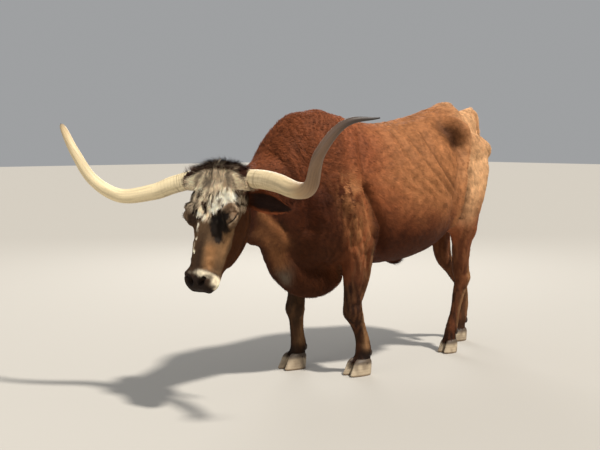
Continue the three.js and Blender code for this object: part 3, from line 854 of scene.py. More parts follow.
def shapeLids(points, side):
    flip = np.array([side, 1, 1])
    away = toFace(points) * flip - eyePlace
    far = np.linalg.norm(away, axis=1)
    near = (far < lids["reach"]) & (away @ lookOut > 0)
    d = unit(away[near])
    current = far[near]
    along, high, out = d @ slitAlong * eyeRadius, d @ lidUp * eyeRadius, d @ lookOut
    cap = eyeRadius + lids["thick"]
    smooth = lids["blend"]
    mixed = np.clip(0.5 + 0.5 * (cap - current) / smooth, 0, 1)
    radius = current * (1 - mixed) + cap * mixed + smooth * mixed * (1 - mixed)
    arch = np.maximum(1 - (along / lids["halfLength"]) ** 2, 0)
    above = high - lids["upper"] * arch
    below = -lids["lower"] * arch - high
    outside = np.maximum(above, below)
    inFront = ease(0.05, 0.25, out)
    radius += inFront * lids["bead"] * bell(outside, 0.0016, 0.0012)
    for gap, folds in zip((above, below), lidFolds):
        for place, width, share in folds:
            radius -= inFront * lids["fold"] * share * bell(gap, place, width)
    opened = (1 - ease(-0.0009, 0.0009, outside)) * (arch > 0.02)
    radius = radius * (1 - opened) + (eyeRadius - lids["deep"]) * opened
    moved = away.copy()
    moved[near] = d * radius[:, None]
    # The tear groove runs on from the inner corner
    run = [slitAlong * 0.021 + lookOut * 0.010, slitAlong * 0.040 + lookOut * 0.004]
    groove = nearPath(moved, run, 0.0035)
    moved -= (0.004 * groove)[:, None] * lookOut
    return fromFace((moved + eyePlace) * flip)


# How thick the coat is over the hide: thin on the face and lower legs, thick on neck, hump and poll
def coatThickness(points):
    left, out, down = toFace(points).T
    onHead = ease(-0.10, 0.02, down) * ease(0.22, 0.14, np.abs(left)) * ease(-0.30, -0.20, out)
    low = ease(0.62, 0.34, points[:, 2])
    crest = ease(0.10, -0.15, points[:, 1]) * ease(0.80, 1.0, points[:, 2])
    depth = coatDepth * (1 + 0.5 * crest) * (1 - 0.55 * low)
    return depth * (1 - onHead) + 0.003 * onHead


def sculptedSkin():
    mesh = meltedMesh()
    edges = edgesOf(mesh)
    points = relaxed(pointsOf(mesh), edges, 8, 0.96)
    trunk = ease(0.55, 0.75, points[:, 2]) * ease(0.20, 0.34, fromHead(points))
    points = relaxed(points, edges, 70, 0.97, np.maximum(trunk * ease(1.17, 1.10, points[:, 1]), 0.15))
    crown = ease(0.20, 0.14, np.linalg.norm(toPoll(points) * [0.75, 1, 1] - [0, -0.02, 0.02], axis=1))
    points = relaxed(points, edges, 30, 0.93, crown)
    movePoints(mesh, points)
    movePoints(mesh, points - normalsOf(mesh) * coatThickness(points)[:, None])
    eyeLine = [eyePlace - slitAlong * 0.008, eyePlace + slitAlong * 0.016]
    refine(mesh, [(eyeLine, 0.036), (nostrilLine, 0.026), (mouthLine, 0.013)])
    refine(mesh, [(eyeLine, 0.030), (nostrilLine, 0.019), (mouthLine, 0.007)])
    refine(mesh, [(eyeLine, 0.020)])
    points = relaxed(pointsOf(mesh), edgesOf(mesh), 3, 0.9)
    movePoints(mesh, points)
    folds = reliefOf(points, looseFolds) + 0.0052 * crinkle(points) + looseSkin(points)
    points = points + normalsOf(mesh) * (bodyRelief(points) + folds + faceRelief(points))[:, None]
    movePoints(mesh, shapeLids(shapeLids(points, 1), -1))
    return tidied(mesh)


skinMesh = sculptedSkin()
print("hide shaped:", len(skinMesh.vertices), "points")


# Ears: thin leaves, hollow towards the front, each a crescent carried along its own path

earLook = {"thick": 0.006, "curl": 1.15}
earStations = {
    "left": np.array([
        [0.080, 0.040, -0.066, 0.028, 0.016, 0.016],
        [0.128, 0.058, -0.078, 0.038, 0.013, 0.012],
        [0.190, 0.064, -0.088, 0.050, 0.009, 0.008],
        [0.255, 0.068, -0.103, 0.044, 0.007, 0.006],
        [0.305, 0.072, -0.115, 0.026, 0.005, 0.005],
        [0.332, 0.074, -0.120, 0.008, 0.004, 0.004],
    ]),
    "right": np.array([
        [0.080, 0.034, -0.066, 0.028, 0.016, 0.016],
        [0.135, 0.062, -0.078, 0.038, 0.013, 0.012],
        [0.182, 0.104, -0.090, 0.050, 0.009, 0.008],
        [0.212, 0.152, -0.104, 0.044, 0.007, 0.006],
        [0.230, 0.198, -0.116, 0.026, 0.005, 0.005],
        [0.238, 0.226, -0.122, 0.008, 0.004, 0.004],
    ]),
}


# Rings of an ear: the back follows the leaf's round back, the front lies inside it by the leaf's thickness
# and sinks deepest at the middle, so that both edges stand forwards
def earGrid(hand, along=60, around=40):
    t = np.linspace(0, 1, along + 1)
    rows, _, side, rise = carried(handed(earStations[hand], hands[hand]), t, back)
    angle = np.linspace(0, 2 * math.pi, around, endpoint=False)
    across, high = np.sin(angle), np.cos(angle)
    # The leaf's edges come forward, most where it is broadest, and the opening fades into the root
    broad = np.maximum(rows[:, 3:4] - 0.003, 0.002)
    opened = (ease(0.04, 0.30, t) * ease(1.0, 0.80, t))[:, None]
    cup = earLook["curl"] * 0.30 * broad * opened
    half = np.maximum(np.where(high > 0, rows[:, 4:5], rows[:, 5:6]) - 0.002, 0.0015)
    thin = np.minimum(half, earLook["thick"] / 2)
    lift = high * (half * (1 - opened) + thin * opened) + cup * (1 - 1.9 * across**2)
    broad = side[:, None] * (broad * across)[..., None]
    return fromPoll(rows[:, None, :3] + broad + rise[:, None] * lift[..., None])


# Markings of hide and coat, with painted light and shade

# Some shades, deep, the crease shade, brisket and jaw among them, also serve as painted shade
shades = {name: tone(*parts) for name, parts in {
    "chestnut": (142, 80, 48), "deep": (48, 17, 5), "tan": (162, 108, 68), "buff": (220, 174, 128),
    "creaseShade": (50, 25, 13), "shank": (30, 18, 11), "shankTan": (152, 112, 76), "brisket": (70, 36, 17),
    "grey": (128, 114, 98), "black": (15, 10, 8), "poll": (56, 37, 28), "lock": (72, 42, 32),
    "roanDark": (62, 43, 32), "roanPale": (244, 218, 184), "white": (255, 240, 214), "cream": (250, 234, 204),
    "face": (96, 73, 52), "faceDark": (50, 35, 26), "lids": (116, 91, 69), "cheek": (160, 114, 72),
    "cheekGrey": (158, 118, 80), "jaw": (78, 42, 17), "pad": (36, 25, 18), "earDark": (42, 27, 21),
    "earRim": (122, 64, 36), "lidRim": (26, 18, 16), "lidHighlight": (188, 162, 132),
}.items()}
# Creases and hollows painted darker, as painted shade where shade falls in them, and how dark
shadedForms = {
    "hollow before the hook": 0.55, "hollow's deepest place": 0.70, "before the thigh": 0.55,
    "deep before the thigh": 0.80, "behind the arm": 0.7, "thigh's parting": 0.35, "behind the blade": 0.35,
    "before the fold": 0.35,
}


# Shades laid one over another, each by its mask
def layered(colours, layers):
    for shade, mask in layers:
        colours = mix(colours, shades[shade], mask)
    return colours


def bodyColours(points):
    x, y, z = points.T
    seen = points[:, 1:]
    warp = 0.12 * (cloud(points, 0.16, 11) - 0.5) + 0.05 * (cloud(points, 0.05, 12) - 0.5)
    outer = ease(0.06, 0.12, np.abs(x))
    onArm = nearPath(seen, [(-0.050, 1.02), (-0.020, 0.90), (0.010, 0.78)], 0.072)
    onArm *= ease(0.05, 0.12, np.abs(x))
    streaks = ease(0.25, 0.65, cloud(points, (0.016, 0.012, 0.060), 15))
    layers = [
        ("tan", 0.92 * ease(0.05, 0.42, y + warp) * ease(0.72, 1.00, z + warp)),
        ("buff", 0.75 * ease(0.72, 1.05, y + warp) * ease(0.80, 1.00, z)),
        # The neck darker above: darker hair, with painted shadow from the head and horns over it
        ("deep", 0.50 * ease(0.10, -0.16, y + warp) * ease(0.84, 1.10, z + warp)),
        # Painted shade over the lower neck, shoulder and chest, the side turned from the light
        ("deep", 0.88 * ease(0.06, -0.10, y + warp) * ease(1.18, 0.94, z + warp)),
        ("tan", onArm * streaks),
        # Painted highlight along the lit rear edge of the arm, before the groove behind it
        ("tan", 0.40 * nearPath(seen, [(0.055, 0.98), (0.068, 0.88), (0.080, 0.78)], 0.022)),
        # Painted shade along the lower flank and belly, which face down away from the light
        ("deep", 0.85 * ease(0.98, 0.68, z + 0.6 * warp) * ease(0.02, 0.12, y) * ease(0.80, 0.66, y)),
        # Paler hair on the thigh's front, painted lighter still as light falling on the thigh
        ("buff", 0.55 * nearPath(seen, [(0.93, 1.12), (0.90, 0.96), (0.90, 0.84)], 0.075)),
        # Painted highlight along the ridge of the flank fold
        ("tan", 0.75 * nearPath(seen, sideForms["flank fold"][0], 0.020)),
        # The brisket's own dark red-brown, painted darker still as shade under the chest
        ("brisket", 0.85 * ease(0.92, 0.66, z + warp) * ease(0.05, -0.12, y)),
        # Painted highlight along the ridges of the throat's loose folds
        ("tan", 0.75 * nearPath(points, looseFolds[0][0], 0.028)),
        ("tan", 0.70 * nearPath(points, looseFolds[2][0], 0.034)),
        ("grey", 0.75 * nearSpot(points, (0.055, -0.335, 0.570), (0.030, 0.040, 0.060))),
    ]
    # Painted shade in the creases and hollows of the trunk and arm
    for name, strength in shadedForms.items():
        path, width, _ = (sideForms | armForms)[name]
        layers.append(("creaseShade", strength * nearPath(seen, path, 0.9 * width) * outer))
    # Painted shade along the sunken loose folds
    for path, width, height in looseFolds:
        if height < 0:
            layers.append(("creaseShade", 0.5 * nearPath(points, path, 0.8 * width)))
    # Painted shade in the groove behind each rib
    layers += [("deep", 0.45 * ribAt(points, k, 0.044, 1.25)) for k in range(ribs["count"])]
    colours = layered(np.tile(shades["chestnut"], (len(points), 1)), layers)
    clumps = cloud(points, (0.014, 0.017, 0.020), 14) - 0.5
    # Crests of the neck's crinkled rows painted lighter and the gaps between them darker, as painted
    # highlight and shade; clumps differ at random
    return colours * (1 + 0.42 * crinkle(points) + 0.58 * clumps * ease(0.55, 0.75, z))[:, None]


# How a limb darkens towards the foot, by dark hair and painted shade, its front before its back as the side
# turned
# from the light: where that ends and starts, how much it leans back, how dark it gets at the top and how much
# more lower down, and the shade of its paler streaks
limbLook = {
    "fore": {"top": 0.68, "end": 0.390, "lean": 1.1, "dark": 0.93, "more": 0.0, "streak": "shankTan"},
    "hind": {"top": 0.88, "end": 0.44, "lean": 1.7, "dark": 0.66, "more": 0.22, "streak": "tan"},
}
# A pale streak down the back of each shank: paler hair, painted lighter as the edge that the light catches
paleShank = [(0.075, 0.66), (0.060, 0.42), (0.042, 0.30), (0.02, 0.16)]


def limbColours(points, colours):
    x, y, z = points.T
    streaks = ease(0.35, 0.75, cloud(points, (0.012, 0.012, 0.055), 22))
    uneven = 0.08 * (cloud(points, 0.05, 21) - 0.5)
    for limb, (stations, side, *_) in limbs.items():
        look = limbLook[limb[:4]]
        behind = y - stepOf(limb, z)
        rows = stations[::-1]
        line, centre, broad = (np.interp(z, rows[:, 2], rows[:, k]) for k in (0, 1, 3))
        # The reach is read from the table's other end, so it is widest near the foot
        reach = np.interp(z, rows[:, 2], stations[:, 4:6].mean(1))
        own = ease(1.7, 1.15, np.abs(x * side - line) / broad)
        own *= ease(1.7, 1.25, np.abs(behind - centre) / reach)
        edge = z + look["lean"] * behind * ease(0.98, 0.62, z) + uneven
        dark = (look["dark"] + look["more"] * ease(0.46, 0.32, z)) * (z < 1.0)
        dark *= ease(look["top"], look["end"], edge)
        colours = layered(colours, (
            (look["streak"], 0.36 * streaks * own * ease(0.16, 0.34, z) * ease(0.84, 0.70, z)),
            # Darker towards the foot and down the front: dark hair with painted shade
            ("shank", dark * own * (1 - 0.30 * streaks)),
            ("shankTan", 0.80 * nearPath(np.stack([behind, z], 1), paleShank, 0.024) * own),
            ("shankTan", 0.10 * own * ease(0.02, -0.02, x * side - line) * ease(0.75, 0.6, z)),
            ("black", 0.45 * own * ease(0.15, 0.10, z)),
        ))
    return colours


# Where the dark crest of the poll ends and the roan forehead starts, down the face
def crestEdge(across):
    places = [-0.150, -0.110, -0.055, 0.055, 0.100, 0.160]
    return np.interp(across, places, [0.016, -0.004, -0.042, -0.040, -0.022, 0.004])


# Pale patches of the face, seen from the front: places (left, down), width and shade
palePatches = [
    ([(0.044, 0.092), (0.086, 0.078)], 0.038, "white"),
    ([(0.030, 0.136), (0.056, 0.122)], 0.021, "white"),
    ([(-0.044, 0.165), (-0.024, 0.174)], 0.020, "white"),
    ([(-0.045, 0.130), (-0.030, 0.150)], 0.015, "roanPale"),
    ([(-0.042, 0.215), (-0.035, 0.250), (-0.032, 0.280)], 0.0075, "white"),
    ([(-0.040, 0.300), (-0.036, 0.325), (-0.028, 0.345)], 0.0085, "white"),
    ([(-0.048, 0.280), (-0.046, 0.300)], 0.005, "roanPale"),
]
# The hollow before the left eye, dark hair painted black as its shadow, seen from the front: places (left,
# down), widths
darkHollow = [
    ([(0.046, 0.186), (0.084, 0.176)], 0.025), ([(0.052, 0.200), (0.060, 0.225)], 0.026),
    ([(0.060, 0.225), (0.066, 0.268)], 0.019), ([(0.084, 0.178), (0.106, 0.172)], 0.020),
    ([(0.076, 0.190), (0.086, 0.212)], 0.027),
]
# On the lids, along the slit and up from it: the dark slit runs on past both corners as painted shade in
# their folds, over a pale rim that is a painted highlight on the lower lid
slitLine = [(-0.030, -0.002), (0.0, 0.001), (0.042, -0.004)]
rimLine = [(-0.024, -0.0085), (0.004, -0.0105), (0.026, -0.0090)]
creamPaths = [
    ([(0.010, 0.006, 0.432), (0.034, 0.002, 0.434), (0.060, -0.012, 0.436), (0.078, -0.050, 0.442)], 0.0150),
    ([(0.074, -0.040, 0.452), (0.080, -0.078, 0.452), (0.072, -0.078, 0.482)], 0.023),
]
# The face's edge against the neck, and the cheek's edge against the jaw, where the jaw's painted shadow
# begins: places down the face, and out of it
faceEdge = ([-0.10, -0.02, 0.04, 0.10, 0.20, 0.50], [0.0, -0.02, -0.07, -0.15, -0.26, -0.26])
cheekEdge = ([0.05, 0.10, 0.19, 0.235, 0.275, 0.34, 0.40, 0.43],
             [-0.075, -0.055, -0.048, -0.070, -0.096, -0.094, -0.088, -0.116])


# Noise that the face's parts share: streaks and locks of hair fan out over the forehead from the poll
def faceNoise(points, face):
    swirl = np.stack([cloud(points, 0.012, 31 + k) - 0.5 for k in range(3)], 1)
    lower = face[:, 2] + 0.13
    fan = np.stack([np.arctan2(face[:, 0], lower) * 0.16, np.hypot(face[:, 0], lower) * 0.28, face[:, 1]], 1)
    return {
        "swirl": swirl,
        "streak": cloud(fan + 0.004 * swirl, (0.0045, 0.009, 0.02), 41),
        "lock": cloud(fan + 0.003 * swirl, (0.0085, 0.012, 0.03), 43),
        "finer": cloud(fan, (0.0022, 0.006, 0.02), 44),
    }


# Forehead: dark and pale hair mixed, paler towards the crest, with ragged white patches
def foreheadColours(made, points, q, noise):
    fx, fy, fz = q.T
    front = q[:, [0, 2]]
    streak, lock, finer = noise["streak"], noise["lock"], noise["finer"]
    upper = ease(0.215, 0.175, fz) * ease(-0.085, -0.03, fy)
    band = ease(0.058, 0.030, fz + 0.012 * noise["swirl"][:, 2]) * upper
    paleShare = 0.34 + 0.34 * band - 0.16 * nearSpot(front, (0.035, 0.040), (0.034, 0.014))
    mixed = 0.42 * streak + 0.40 * finer + 0.18 * cloud(points, 0.020, 42)
    paleHair = upper * ease(-0.05, 0.05, mixed - 0.86 + paleShare)
    made = layered(made, (("roanDark", upper), ("roanPale", paleHair)))
    made = made * (1 - 0.70 * upper * ease(0.55, 0.25, lock))[:, None]
    ragged = 0.60 * (streak - 0.5) + 0.55 * (finer - 0.5) + 0.35 * (lock - 0.5)
    for places, width, shade in palePatches:
        close = nearPath(front, places, width)
        held = ease(0.30, 0.55, close + ragged * ease(0.05, 0.35, close))
        made = layered(made, [(shade, held * ease(0.10, 0.30, lock) * (fy > -0.04))])
    return made


# Sides of the nose and cheeks, and about the eyes
def cheekColours(made, q, half, noise):
    fx, fy, fz = q.T
    front = q[:, [0, 2]]
    streak, finer = noise["streak"], noise["finer"]
    bridge = nearPath(front, [(-0.040, 0.205), (-0.030, 0.345)], 0.010)
    noseSide = ease(0.036, 0.002, fx) * ease(0.20, 0.33, fz) * (fy > -0.05) * ease(0.02, 0.0, bridge - 0.4)
    lidHair = nearPath(front, [(0.104, 0.118), (0.122, 0.140)], 0.026) + 0.3 * (streak - 0.5)
    hollow = nearAny(front, darkHollow) + 0.34 * (streak - 0.5) + 0.20 * (finer - 0.5)
    shadow = ease(0.06, 0.66, hollow) * (fx > 0) * ease(-0.05, -0.03, fy)
    fromEye = q - eyePlace
    belowSlit = ease(0.001, -0.005, fromEye @ lidUp) * ease(0.045, 0.030, np.linalg.norm(fromEye, axis=1))
    other = q * [-1, 1, 1]
    otherHollow = nearPath(other, [(0.095, 0.012, 0.180), (0.085, 0.006, 0.235)], 0.026)
    layers = [
        ("faceDark", 0.85 * noseSide),
        ("cheekGrey", 0.9 * nearPath(half, [(0.112, -0.030, 0.235), (0.096, -0.050, 0.320)], 0.042)),
        ("cheek", 0.8 * nearPath(q, [(0.054, 0.010, 0.322), (0.058, 0.0, 0.388)], 0.026)),
        ("cheek", 0.35 * nearPath(other, [(0.060, 0.0, 0.300), (0.062, -0.01, 0.385)], 0.034)),
        ("lids", 0.80 * ease(0.15, 0.75, lidHair) * (fy > -0.07)),
        ("lids", 0.8 * ease(0.056, 0.040, np.linalg.norm(mirrored(q) - eyePlace, axis=1))),
        # Painted shadow in the hollow before the left eye, over its dark hair
        ("black", 0.95 * shadow * (1 - belowSlit)),
    ]
    # Creases of the skin run back over the cheek from below the hollow, painted as dark lines of shade
    for drop in (0.0, 0.013, 0.030):
        run = [(0.078, -0.005, 0.262 + drop), (0.090, -0.040, 0.284 + drop), (0.096, -0.085, 0.298 + drop)]
        layers.append(("faceDark", 0.55 * nearPath(half, run, 0.0035)))
    # Painted shadow in the hollow before the right eye
    layers.append(("faceDark", 0.8 * ease(0.3, 0.7, otherHollow) * (fx < 0)))
    fromEye = half - eyePlace
    onLid = np.stack([fromEye @ slitAlong, fromEye @ lidUp], 1)
    outside = ease(-0.012, 0.0, fromEye @ lookOut) * (np.linalg.norm(fromEye, axis=1) < 0.06)
    # Painted highlight along the lower lid's rim and at its inner corner
    lowerLidHighlight = np.maximum(nearPath(onLid, rimLine, 0.0032), nearSpot(onLid, (0.031, -0.010), 0.0055))
    # The dark slit between the lids, run on past both corners as painted shade in their folds
    layers.append(("lidRim", 0.95 * outside * nearPath(onLid, slitLine, 0.0042)))
    layers.append(("lidHighlight", 0.90 * outside * lowerLidHighlight))
    return layered(made, layers)


# Jaw behind the cheek's sharp edge, its reddish-brown painted darker as the shadow cast on it by horn and
# ear, and the
# muzzle: a pale band over the nostrils and down the lip's side, and the dark pad below
def muzzleColours(made, face, q, noise):
    fx, fy, fz = q.T
    half, onBoth = mirrored(face), mirrored(q)
    edge = np.interp(face[:, 2], *cheekEdge)
    shadedJaw = ease(0.003, -0.003, face[:, 1] + 0.004 * noise["swirl"][:, 0] - edge)
    # The pale band painted fainter towards the muzzle's right side, as painted shade on the side turned from
    # the light
    pale = nearAny(half, creamPaths) * (0.25 + 0.75 * ease(-0.024, 0.022, fx))
    pad = ease(-0.004, 0.006, fz - 0.446 - 0.62 * np.abs(fx)) * ease(-0.100, -0.086, fy)
    crest = ease(0.004, -0.008, fz - crestEdge(fx))
    return layered(made, (
        # The jaw's reddish-brown, painted darker as the shadow cast by horn and ear
        ("jaw", shadedJaw * ease(0.455, 0.435, fz)),
        ("faceDark", 0.85 * ease(0.405, 0.440, fz) * ease(-0.07, -0.04, fy)),
        ("cream", 0.97 * ease(0.10, 0.80, pale + 0.22 * (noise["streak"] - 0.5))),
        ("cream", 0.6 * ease(-0.088, -0.106, fy) * ease(0.42, 0.45, fz)),
        ("pad", np.maximum(pad, ease(0.30, 0.50, nearPath(onBoth, nostrilLine[:3], 0.0150)))),
        # Painted shade inside the nostrils
        ("black", 1.2 * nearPath(onBoth, nostrilLine[:2], 0.0130)),
        ("lidRim", nearPath(onBoth, mouthLine, 0.004)),
        ("poll", crest),
        ("lock", 0.75 * crest * ease(0.06, 0.11, np.abs(fx))),
    ))


def faceColours(points, colours):
    face = toFace(points)
    noise = faceNoise(points, face)
    q = face + 0.010 * noise["swirl"]
    left, out, down = face.T
    onFace = ease(-0.100, -0.085, down) * ease(0.235, 0.205, np.abs(left))
    onFace *= ease(0.0, 0.03, out - np.interp(down, *faceEdge))
    onFace *= np.maximum(ease(0.17, 0.15, np.abs(left)), ease(-0.06, -0.02, q[:, 1]))
    made = np.tile(shades["face"], (len(points), 1))
    made = foreheadColours(made, points, q, noise)
    made = cheekColours(made, q, mirrored(face), noise)
    made = muzzleColours(made, face, q, noise)
    return mix(colours, made, onFace)


# The dark crest between the horns, and the ears: dark inside, reddish along the rims and at the back
def headTopColours(points, colours):
    poll, face = toPoll(points), toFace(points)
    across, behind, high = poll.T
    swirl = cloud(points, 0.02, 51) - 0.5
    nearTop = ease(0.24, 0.21, np.abs(across)) * ease(-0.050, -0.020, high + 0.012 * swirl)
    nearTop *= ease(0.12, 0.09, behind) * ease(-0.085, -0.055, behind + 0.02 * swirl)
    nearTop *= ease(0.004, -0.008, face[:, 2] + 0.010 * swirl - crestEdge(face[:, 0]))
    nearHorns = nearTop * ease(0.08, 0.14, np.abs(across))
    colours = layered(colours, (("poll", nearTop), ("lock", 0.6 * nearHorns)))
    for hand, side in hands.items():
        rows = curve(handed(earStations[hand], side), np.linspace(0, 1, 24))
        close = np.abs(across * side - 0.22) < 0.20
        near = poll[close]
        nearest = np.linalg.norm(near[:, None] - rows[None, :, :3], axis=2).argmin(1)
        lateral = unit(np.cross(back, unit(np.gradient(rows[:, :3], axis=0))))
        away = near - rows[nearest, :3]
        reach = np.abs((away * lateral[nearest]).sum(1)) / np.maximum(rows[nearest, 3], 0.01)
        onEar = (np.linalg.norm(away, axis=1) < 0.062) * ease(0.110, 0.150, near[:, 0] * side)
        onEar = onEar * ease(-0.02, -0.045, near[:, 2])
        rim = ease(0.60, 0.85, reach + 0.2 * swirl[close])
        colours[close] = layered(colours[close], (("earDark", 0.95 * onEar), ("earRim", 0.85 * onEar * rim)))
    return colours


def colouring(points):
    colours = limbColours(points, bodyColours(points))
    colours = headTopColours(points, faceColours(points, colours))
    tail = nearPath(points, switchStations[:, :3], 0.08)
    tail *= (points[:, 1] > 1.02) & (np.abs(points[:, 0]) < 0.045)
    colours = layered(colours, [("poll", ease(0.3, 0.7, tail))])
    mottle = 1 + 0.14 * (cloud(points, 0.035, 61) - 0.5) + 0.30 * (cloud(points, 0.009, 62) - 0.5)
    return np.clip(colours * mottle[:, None], 0.002, 0.95)


def finishedSkin():
    hair = np.array([0, 0, 0, 0.004, 0.004, 0.004])
    extras = [earGrid("left"), earGrid("right"), rings(tailStations[1:] - hair, 100, 20, back)]
    shape = bmesh.new()
    shape.from_mesh(skinMesh)
    shape.from_mesh(tidied(meshOf("extras", *stack([closedGrid(grid) for grid in extras]))))
    whole = bpy.data.meshes.new("hide")
    shape.to_mesh(whole)
    shape.free()
    points = pointsOf(whole)
    movePoints(whole, points + home)
    paint(whole, colouring(points))
    return whole


hideRelief = {"scales": (210.0, 45.0), "detail": 2.0, "shade": 0.5, "strength": 0.45, "distance": 0.004}
hideSurface = surfaceOf("hide", {"Roughness": 0.72, "Specular IOR Level": 0.12}, hideRelief)
fleshNodes = ["head", "jaw", "muzzle", "poll_tuft", "ear_left", "ear_right", "neck", "chest", "barrel",
              "rump", "tail", "tail_switch"]
for hand in hands:
    fleshNodes += [f"{part}_{hand}" for part in (
        "shoulder", "thigh", "forearm", "fore_cannon", "fore_pastern", "gaskin", "hind_cannon",
        "hind_pastern")]
hide = piece("hide", finishedSkin(), hideSurface, fleshNodes)
print("hide:", len(trianglesOf(hide.data)), "triangles")


# Eyes: dark glossy balls, a little higher over the iris

eyeLook = {"ball": tone(30, 20, 16), "iris": tone(20, 12, 9), "pupil": tone(4, 4, 4), "bulge": 0.0006}


def eyeMesh(side):
    points, faces = closedGrid(egg([0, 0, 0], [1, 1, 1], 64, 48))
    flip = np.array([side, 1, 1])
    d = unit(points)
    front = d @ (lookOut * flip)
    flat = np.hypot(d @ (slitAlong * flip) / 1.6, d @ (lidUp * flip) / 0.8)
    colours = np.tile(eyeLook["ball"], (len(points), 1))
    colours = mix(colours, eyeLook["iris"], ease(0.80, 0.86, front))
    colours = mix(colours, eyeLook["pupil"], ease(0.30, 0.24, flat) * (front > 0))
    points = d * (eyeRadius + eyeLook["bulge"] * ease(0.78, 0.95, front)[:, None])
    mesh = meshOf("eye", fromFace(points + eyePlace * flip) + home, faces)
    paint(mesh, colours)
    return tidied(mesh)


eyeSurface = surfaceOf("eye", {"Roughness": 0.14, "Coat Weight": 0.15, "Coat Roughness": 0.03})
for hand, side in hands.items():
    piece("eye_" + hand, eyeMesh(side), eyeSurface, ["eye_" + hand])


# Horns: growth rings crowd the root, long grain runs on to a dark tip

hornLook = {"along": 240, "around": 48, "ring": 0.00045, "rough": 0.0006, "grain": tone(168, 146, 106),
            "band": tone(140, 120, 92)}
# The horn's colour from root to tip: the left one turns grey from its bend on, the right one stays pale
hornShades = {
    "left": ([0, 0.38, 0.50, 0.60, 0.76, 0.89, 1], [
        (218, 199, 160), (202, 180, 140), (168, 138, 100), (134, 104, 74), (112, 86, 66), (70, 57, 50),
        (42, 37, 35)]),
    "right": ([0, 0.60, 0.84, 0.94, 1], [
        (226, 208, 168), (224, 204, 162), (196, 172, 132), (128, 108, 86), (66, 58, 54)]),
}


def hornMesh(hand):
    look = hornLook
    grid = fromPoll(rings(handed(hornStations[hand], hands[hand]), look["along"], look["around"], up))
    t = np.linspace(0, 1, look["along"] + 1)
    axis = grid.mean(1)
    away = unit(grid - axis[:, None])
    run = np.concatenate([[0], np.cumsum(np.linalg.norm(np.diff(axis, axis=0), axis=1))])
    angle = np.linspace(0, 2 * math.pi, look["around"], endpoint=False)
    wavy = run[:, None] + 0.006 * np.sin(angle + 9 * run[:, None])
    root = ease(0.42, 0.0, t)[:, None]
    waves = np.cos(2 * math.pi * wavy / 0.017) + 0.6 * np.cos(2 * math.pi * wavy / 0.0071)
    relief = look["ring"] * root * waves
    places = np.stack([wavy, 0.04 * np.cos(angle) + 0 * wavy, 0.04 * np.sin(angle) + 0 * wavy], -1)
    rough = look["rough"] * (gridCloud(places, (0.05, 0.004, 0.004), 71) - 0.5)
    grid += away * ((relief + rough) * ease(1.0, 0.9, t)[:, None])[..., None]
    grain = gridCloud(places, (0.08, 0.0035, 0.0035), 72)
    bands = gridCloud(places, (0.006, 0.05, 0.05), 73)
    stops, ramp = hornShades[hand]
    ramp = np.array([tone(*parts) for parts in ramp])
    along = np.stack([np.interp(t, stops, ramp[:, k]) for k in range(3)], -1)
    colours = np.repeat(along[:, None], len(angle), 1)
    colours = mix(colours, look["grain"], 0.50 * ease(0.45, 0.8, grain) * root)
    colours = mix(colours, look["band"], 0.60 * root * ease(0.5, 0.85, bands))
    colours = colours * (1 - 0.22 * ease(0.40, 0.75, grain) * (1 - root))[..., None]
    return paintedRings("horn", grid, colours)


hornRelief = {"scales": (130.0,), "detail": 3.0, "shade": 0.24, "strength": 0.15, "distance": 0.002,
              "uneven": 0.2}
hornSurface = surfaceOf("horn_sheath", {"Roughness": 0.42}, hornRelief)
for hand in hands:
    piece("horn_" + hand, hornMesh(hand), hornSurface, ["horn_" + hand])


# Hooves: two claws and two dewclaws on each foot

clawLook = {"gap": 0.0003, "along": 44, "around": 56, "ring": 0.0005, "pale": tone(178, 160, 134),
            "dull": tone(112, 95, 76), "dirt": tone(112, 84, 58), "coronet": tone(80, 66, 52)}
dewclawLook = {"broad": 0.44, "half": (0.012, 0.020), "out": 0.74, "behind": 0.64, "down": 0.016,
               "tone": tone(58, 46, 38)}


def clawMesh(limb, side):
    look = clawLook
    x, y, coronet = stepped(limb)[-1, :3]
    broad, toe, heel = feet[limb[:4]]
    stations = [
        [x + side * (broad - 0.002), y + 0.002, coronet + 0.016, broad - 0.006, toe * 0.52, heel * 0.80],
        [x + side * broad, y - 0.002, coronet - look["gap"], broad - 0.0005, toe * 0.7, heel],
        [x + side * (broad + 0.0015), y - 0.005, coronet * 0.5, broad + 0.001, toe * 0.87, heel],
        [x + side * (broad + 0.0025), y - 0.008, 0.009, broad + 0.002, toe, heel - 0.001],
        [x + side * (broad + 0.002), y - 0.007, 0.0, broad - 0.001, toe - 0.007, heel - 0.005],
    ]
    grid = rings(stations, look["along"], look["around"], ahead, -up, (1.7, 2.3))
    height = grid[..., 2]
    outward = unit(grid - grid.mean(1, keepdims=True))
    ringing = np.cos(2 * math.pi * height / 0.014 + 2.0 * gridCloud(grid, 0.05, 82))
    ringing = ringing * ease(0.002, 0.010, height) * ease(coronet + 0.004, coronet - 0.006, height)
    grid[..., :2] += (outward * (look["ring"] * ringing)[..., None])[..., :2]
    grain = gridCloud(grid, (0.022, 0.022, 0.03), 81)
    colours = mix(look["pale"], look["dull"], 0.65 * ease(0.25, 0.85, grain))
    colours = mix(colours, look["dirt"], 0.75 * ease(0.014, 0.0, height))
    colours = mix(colours, look["coronet"], ease(coronet - 0.020, coronet + 0.004, height))
    return paintedRings("claw", grid, colours)


def dewclawMesh(limb, side):
    look = dewclawLook
    x, y, z, _, _, behind = stepped(limb)[-3]
    broad = feet[limb[:4]][0]
    centre = [x + side * look["out"] * broad, y + look["behind"] * behind, z - look["down"]]
    grid = egg(centre, np.array([look["broad"] * broad, *look["half"]]), 30, 22)
    points, faces = closedGrid(grid)
    mesh = meshOf("dewclaw", points + home, faces)
    paint(mesh, np.tile(look["tone"], (len(points), 1)) * (0.8 + 0.4 * cloud(points, 0.006, 83))[:, None])
    return tidied(mesh, 1e-7)


